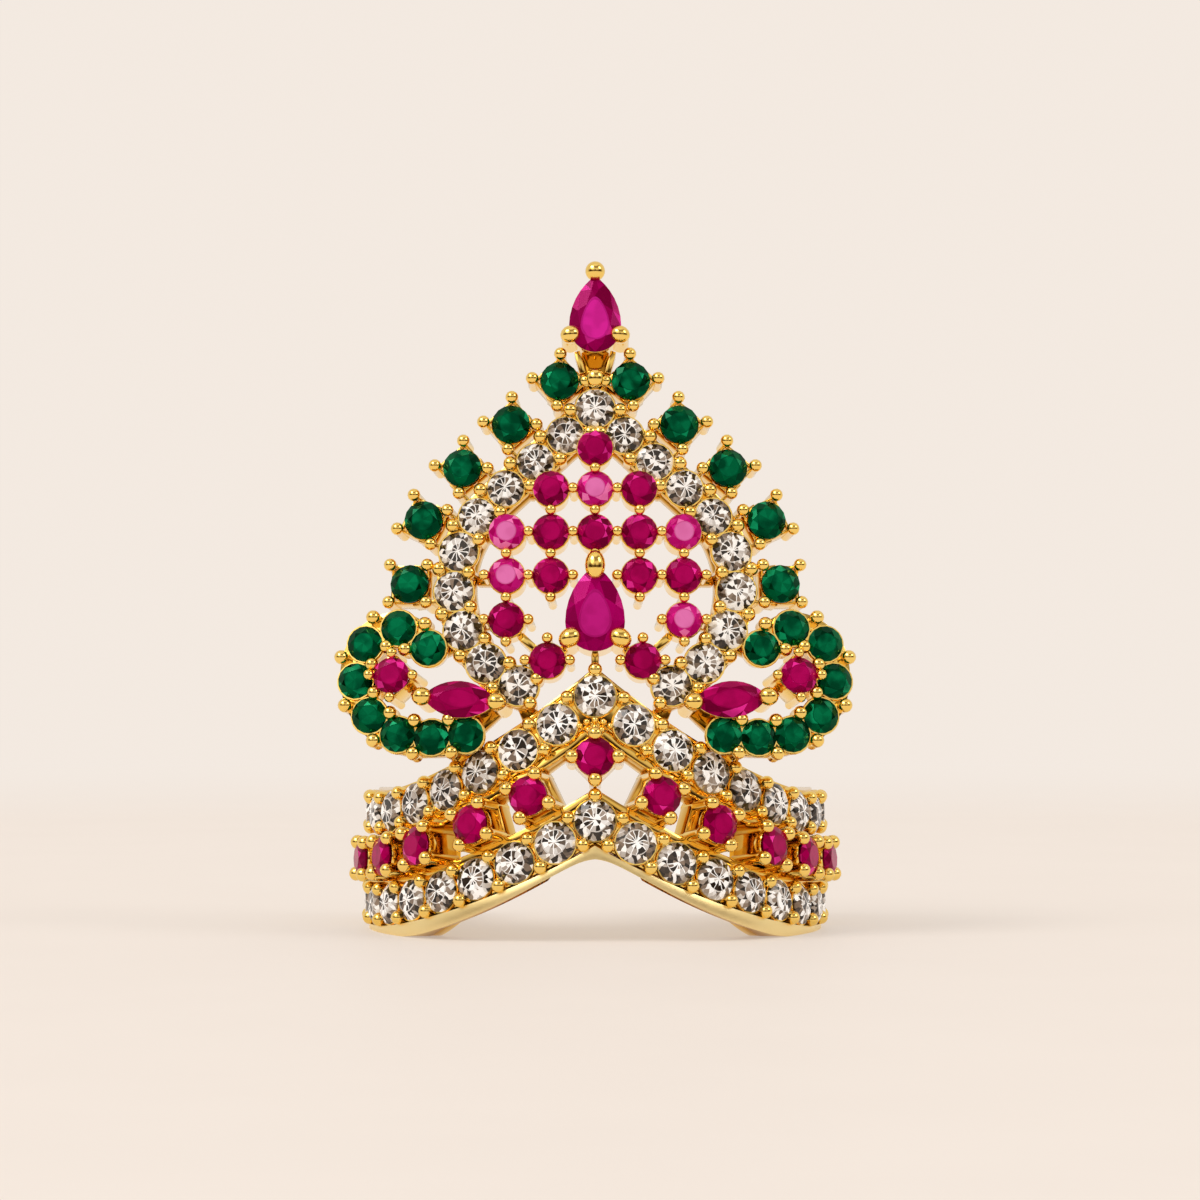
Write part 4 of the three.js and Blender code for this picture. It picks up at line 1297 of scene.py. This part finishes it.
BARS = (
    # start, end, half width, low, high
    ((4.7, 33.95), (6.1, 34.0), 0.35, -2.6, -1.4),
    ((8.0, 30.65), (9.0, 30.65), 0.35, -2.6, -1.4),
    ((7.9, 27.35), (9.2, 27.35), 0.35, -2.6, -1.4),
    ((7.9, 24.0), (9.0, 24.0), 0.35, -2.6, -1.4),
    ((4.6, 22.0), (5.7, 23.0), 0.3, -2.6, -0.3),
    ((1.8, 22.4), (2.6, 21.8), 0.3, -2.6, -0.3),
    ((5.9, 19.3), (4.7, 16.4), 0.7, -2.6, -1.6),
    ((6.3, 19.2), (7.6, 17.4), 0.6, -2.6, -1.5),
    ((7.5, 17.6), (9.9, 15.4), 0.5, -2.6, -1.5),
    ((10.3, 16.2), (10.3, 14.8), 0.8, -5.4, -1.5),
    ((10.3, 15.2), (10.3, 11.6), 0.8, -5.4, -4.4),
    ((10.2, 22.9), (12.9, 21.7), 0.6, -2.6, -1.5),
    ((12.7, 18.1), (14.2, 19.0), 0.4, -2.6, -1.5),
    ((16.0, 19.7), (18.2, 19.3), 0.6, -2.6, -1.5),
)


def plume_metal():
    parts = []
    path = leaf_path(LEAF_STEPS, LEAF_END)
    halo = both_halves(ribbon("halo gallery", path, 1.5, GALLERY["low"], GALLERY["high"] + 0.05, 2))
    soften(halo, 0.12, 2)
    smooth(halo, 40)
    parts.append(bend(halo, PLUME))
    path = [wing_place(count) for count in spread(0, len(WING) - 1, WING_STEPS)]
    loop = both_halves(ribbon("wing gallery", path, 1.1, GALLERY["low"], STRIP["low"] + 0.05, 2))
    soften(loop, 0.12, 2)
    smooth(loop, 40)
    parts.append(bend(loop, PLUME))
    bars = [both_halves(bar(*row)) for row in BARS]
    bars.append(bar((0, 45), (0, 39.6), 1.1, GALLERY["low"], -1.5))
    bars += [bar((side * 1.4, 44.7), (side * 0.95, 43.0), 0.22, GALLERY["low"], -0.3) for side in SIDES]
    bars.append(bar((0, 18.4), (0, 22.4), 0.3, GALLERY["low"], -1.6))
    bars.append(bar((0, 20.6), (0, 22.4), 0.25, GALLERY["low"], -0.5))
    bars.append(bar((0, 28.1), (0, 29.4), 0.3, GALLERY["low"], -0.4))
    ties = joined("ties", bars)
    smooth(ties, 40)
    parts.append(bend(ties, PLUME))
    spike_head = head(1.36, 0.5, 0.0, GALLERY["low"], flare=0.16)
    ring = collet(STONE["spike_emerald"]["radius"] - 0.1, -0.2, -1.3)
    wing_head = head(1.2, 0.42, STONE["wing_ruby"]["lift"], GALLERY["low"])
    for side in SIDES:
        for place in spike_places():
            where = seat(PLUME, mirrored(place["at"], side), facing(place["outward"], side))
            parts.append(copy_at(spike_head, where))
            parts.append(copy_at(ring, where))
        parts.append(copy_at(wing_head, seat(PLUME, mirrored(WING_RUBY, side), math.pi / 4)))
        parts += long_head(mirrored(MARQUISE, side), "marquise", marquise_outline(LONG["marquise"]),
                           side * MARQUISE_TILT, ((0, 0.72, 1.1), (180, 0.72, 1.1)))
    drop(spike_head, ring, wing_head)
    parts += long_head(TOP_PEAR, "top_pear", pear_outline(LONG["top_pear"]), 0.0,
                       ((-19, 0.68, 1.15), (199, 0.68, 1.15)))
    parts += long_head(MIDDLE_PEAR, "middle_pear", pear_outline(LONG["middle_pear"]), 0.0,
                       ((-33, 0.76, 1.2), (213, 0.76, 1.2), (90, 0.78, 1.5)))
    ball_height = TOP_PEAR[1] + LONG["top_pear"]["half_length"] + 0.3
    bpy.ops.mesh.primitive_uv_sphere_add(segments=24, ring_count=14, radius=0.76)
    ball = made("ball")
    smooth(ball, 60)
    parts.append(copy_at(ball, seat(PLUME, (0, ball_height), 0, LONG["top_pear"]["lift"])))
    drop(ball)
    neck = bar((0, ball_height - 1.2), (0, ball_height + 0.1), 0.34, -0.7, 0.4)
    parts.append(bend(neck, PLUME))
    parts.append(copy_at(BEAD, seat(PLUME, (0, 42.45), 0.0, 0.15) @ Matrix.Diagonal((1.35, 1.45, 1.3, 1))))
    return parts


def crown_frame():
    wall_parts, lip = band_wall()
    parts = wall_parts + band_heads() + lattice_metal() + plume_metal()
    bright = dressed(joined("bright metal", parts), GOLD)
    whole = joined("crown_frame_metal", [bright, lip])
    return handed_in(whole, "gold", "crown_frame")


crown_frame()
drop(BRILLIANT, LONG_CUT, BEAD, TINY_BEAD, LATTICE_BEAD)

# ------------------------------------------------------------------ floor, light and air


TABLE_RADIUS, SWEEP, WALL_HEIGHT = 0.55, 0.45, 2.2
WALL_TONE = (0.9, 0.82, 0.75, 1)
# the glow under the crown is painted light that lifts the crown's shadow on the table
SOFT_SHADE = 0.4  # share of the table's own glow under the crown, which keeps its shade soft


def floor():
    """A round table top that turns up softly into a far wall; only the camera sees the wall. The table glows
    evenly towards its edge, and under the crown a share of painted light softens its shade.
    """
    bpy.ops.mesh.primitive_circle_add(vertices=96, radius=TABLE_RADIUS, fill_type="NGON")
    disc = made("floor")
    profile = [(TABLE_RADIUS, 0.0)]
    for degrees in range(5, 91, 5):
        turn = math.radians(degrees)
        profile.append((TABLE_RADIUS + SWEEP * math.sin(turn), SWEEP * (1 - math.cos(turn))))
    profile.append((TABLE_RADIUS + SWEEP, WALL_HEIGHT))
    wall = lathed("far wall", profile, 96)
    wall.data.flip_normals()
    smooth(wall, 60)
    wall.visible_glossy = False
    wall.visible_diffuse = False
    wall.visible_shadow = False
    mat, tree, shader = material("pale table")
    place = node(tree, "ShaderNodeTexCoord")
    grain = node(tree, "ShaderNodeTexNoise")
    grain.inputs["Scale"].default_value = 60.0
    grain.inputs["Detail"].default_value = 6.0
    tree.links.new(place.outputs["Object"], grain.inputs["Vector"])
    colour = mixed(tree, grain.outputs["Fac"], (0.79, 0.72, 0.66, 1), (0.83, 0.76, 0.7, 1))
    length = node(tree, "ShaderNodeVectorMath", operation="LENGTH")
    tree.links.new(place.outputs["Object"], length.inputs[0])
    far = soft_step(tree, length.outputs["Value"], 0.05, 0.32)
    tree.links.new(colour, shader.inputs["Base Color"])
    shader.inputs["Specular IOR Level"].default_value = 0.1
    shader.inputs["Roughness"].default_value = 0.55
    glow = node(tree, "ShaderNodeEmission")
    glow.inputs["Color"].default_value = WALL_TONE
    fade = node(tree, "ShaderNodeMixShader")
    # painted light: at least this share of glow everywhere, which lightens the shade under the crown
    tree.links.new(maths(tree, "MAXIMUM", far, SOFT_SHADE), fade.inputs[0])
    tree.links.new(shader.outputs[0], fade.inputs[1])
    tree.links.new(glow.outputs[0], fade.inputs[2])
    tree.links.new(fade.outputs[0], tree.nodes["Material Output"].inputs[0])
    dressed(disc, mat)
    pale, _, wall_shader = material("pale wall")
    wall_shader.inputs["Base Color"].default_value = (0, 0, 0, 1)
    wall_shader.inputs["Emission Color"].default_value = WALL_TONE
    wall_shader.inputs["Emission Strength"].default_value = 1.0
    wall_shader.inputs["Specular IOR Level"].default_value = 0.0
    dressed(wall, pale)


# colours of the air by the height of a direction: for soft light, and for what the gold mirrors
SOFT_AIR = (
    (0.0, (0.45, 0.38, 0.3, 1)),
    (0.04, (0.03, 0.018, 0.01, 1)),
    (0.15, (0.05, 0.03, 0.016, 1)),
    (0.24, (0.6, 0.56, 0.52, 1)),
    (0.6, (0.97, 0.94, 0.92, 1)),
    (1.0, (0.84, 0.8, 0.78, 1)),
)
SHINY_AIR = (
    (0.0, (0.35, 0.26, 0.17, 1)),
    (0.04, (0.09, 0.055, 0.03, 1)),
    (0.16, (0.12, 0.075, 0.04, 1)),
    (0.24, (0.75, 0.69, 0.62, 1)),
    (0.46, (0.9, 0.85, 0.8, 1)),
    (0.6, (0.36, 0.29, 0.22, 1)),
    (0.84, (0.34, 0.28, 0.22, 1)),
    (0.92, (1.0, 0.95, 0.9, 1)),
)
SHINY_SIDES = (
    (0.0, (0.3, 0.26, 0.22, 1)),
    (0.09, (0.3, 0.26, 0.22, 1)),
    (0.16, (1, 1, 1, 1)),
    (0.6, (1, 1, 1, 1)),
    (0.72, (0.2, 0.14, 0.09, 1)),
    (1.0, (0.7, 0.65, 0.6, 1)),
)
KEY_PANEL = (-0.5, -0.62, 0.6)


def graded(tree, value, rows):
    ramp = node(tree, "ShaderNodeValToRGB")
    stops = ramp.color_ramp.elements
    stops[0].position, stops[0].color = rows[0]
    stops[1].position, stops[1].color = rows[-1]
    for position, colour in rows[1:-1]:
        stop = stops.new(position)
        stop.color = colour
    tree.links.new(value, ramp.inputs[0])
    return ramp.outputs[0]


def world():
    air = bpy.data.worlds.new("studio")
    scene.world = air
    air.use_nodes = True
    tree = air.node_tree
    tree.nodes.clear()
    out = node(tree, "ShaderNodeOutputWorld")
    place = node(tree, "ShaderNodeTexCoord")
    parts = node(tree, "ShaderNodeSeparateXYZ")
    tree.links.new(place.outputs["Generated"], parts.inputs[0])
    soft = graded(tree, parts.outputs[2], SOFT_AIR)
    heights = graded(tree, parts.outputs[2], SHINY_AIR)
    across = graded(tree, maths(tree, "ABSOLUTE", parts.outputs[0]), SHINY_SIDES)
    panels = node(tree, "ShaderNodeMix", data_type="RGBA", blend_type="MULTIPLY")
    panels.inputs[0].default_value = 1.0
    tree.links.new(heights, panels.inputs[6])
    above = soft_step(tree, parts.outputs[2], 0.25, 0.45)
    tree.links.new(mixed(tree, above, across, (1, 1, 1, 1)), panels.inputs[7])
    toward = node(tree, "ShaderNodeVectorMath", operation="DOT_PRODUCT")
    toward.inputs[1].default_value = Vector(KEY_PANEL).normalized()
    tree.links.new(place.outputs["Generated"], toward.inputs[0])
    key = soft_step(tree, toward.outputs["Value"], 0.93, 0.96)
    shiny = mixed(tree, key, panels.outputs[2], (1.9, 1.8, 1.65, 1))
    path = node(tree, "ShaderNodeLightPath")
    front = mixed(tree, path.outputs["Is Glossy Ray"], soft, shiny)
    behind = soft_step(tree, parts.outputs[1], -0.35, 0.15)
    lit = node(tree, "ShaderNodeBackground")
    tree.links.new(mixed(tree, behind, front, (0.8, 0.74, 0.68, 1)), lit.inputs[0])
    seen = node(tree, "ShaderNodeBackground")
    seen.inputs[0].default_value = (0.9, 0.83, 0.77, 1)
    mix = node(tree, "ShaderNodeMixShader")
    tree.links.new(path.outputs["Is Camera Ray"], mix.inputs[0])
    tree.links.new(lit.outputs[0], mix.inputs[1])
    tree.links.new(seen.outputs[0], mix.inputs[2])
    tree.links.new(mix.outputs[0], out.inputs[0])


def softbox(name, place, size, watts, colour=(1, 0.97, 0.93)):
    data = bpy.data.lights.new(name, "AREA")
    data.shape = "RECTANGLE"
    data.size, data.size_y = size
    data.energy = watts
    data.color = colour
    lamp = bpy.data.objects.new(name, data)
    lamp.location = place
    aim = Vector((0, 0, 0.025)) - Vector(place)
    lamp.rotation_euler = aim.to_track_quat("-Z", "Y").to_euler()
    scene.collection.objects.link(lamp)


floor()
world()
softbox("key", (-0.9, -0.7, 1.3), (0.8, 0.6), 10.0)
softbox("fill", (1.0, -0.5, 0.8), (0.5, 0.5), 3.0)

scene.view_settings.view_transform = "Standard"
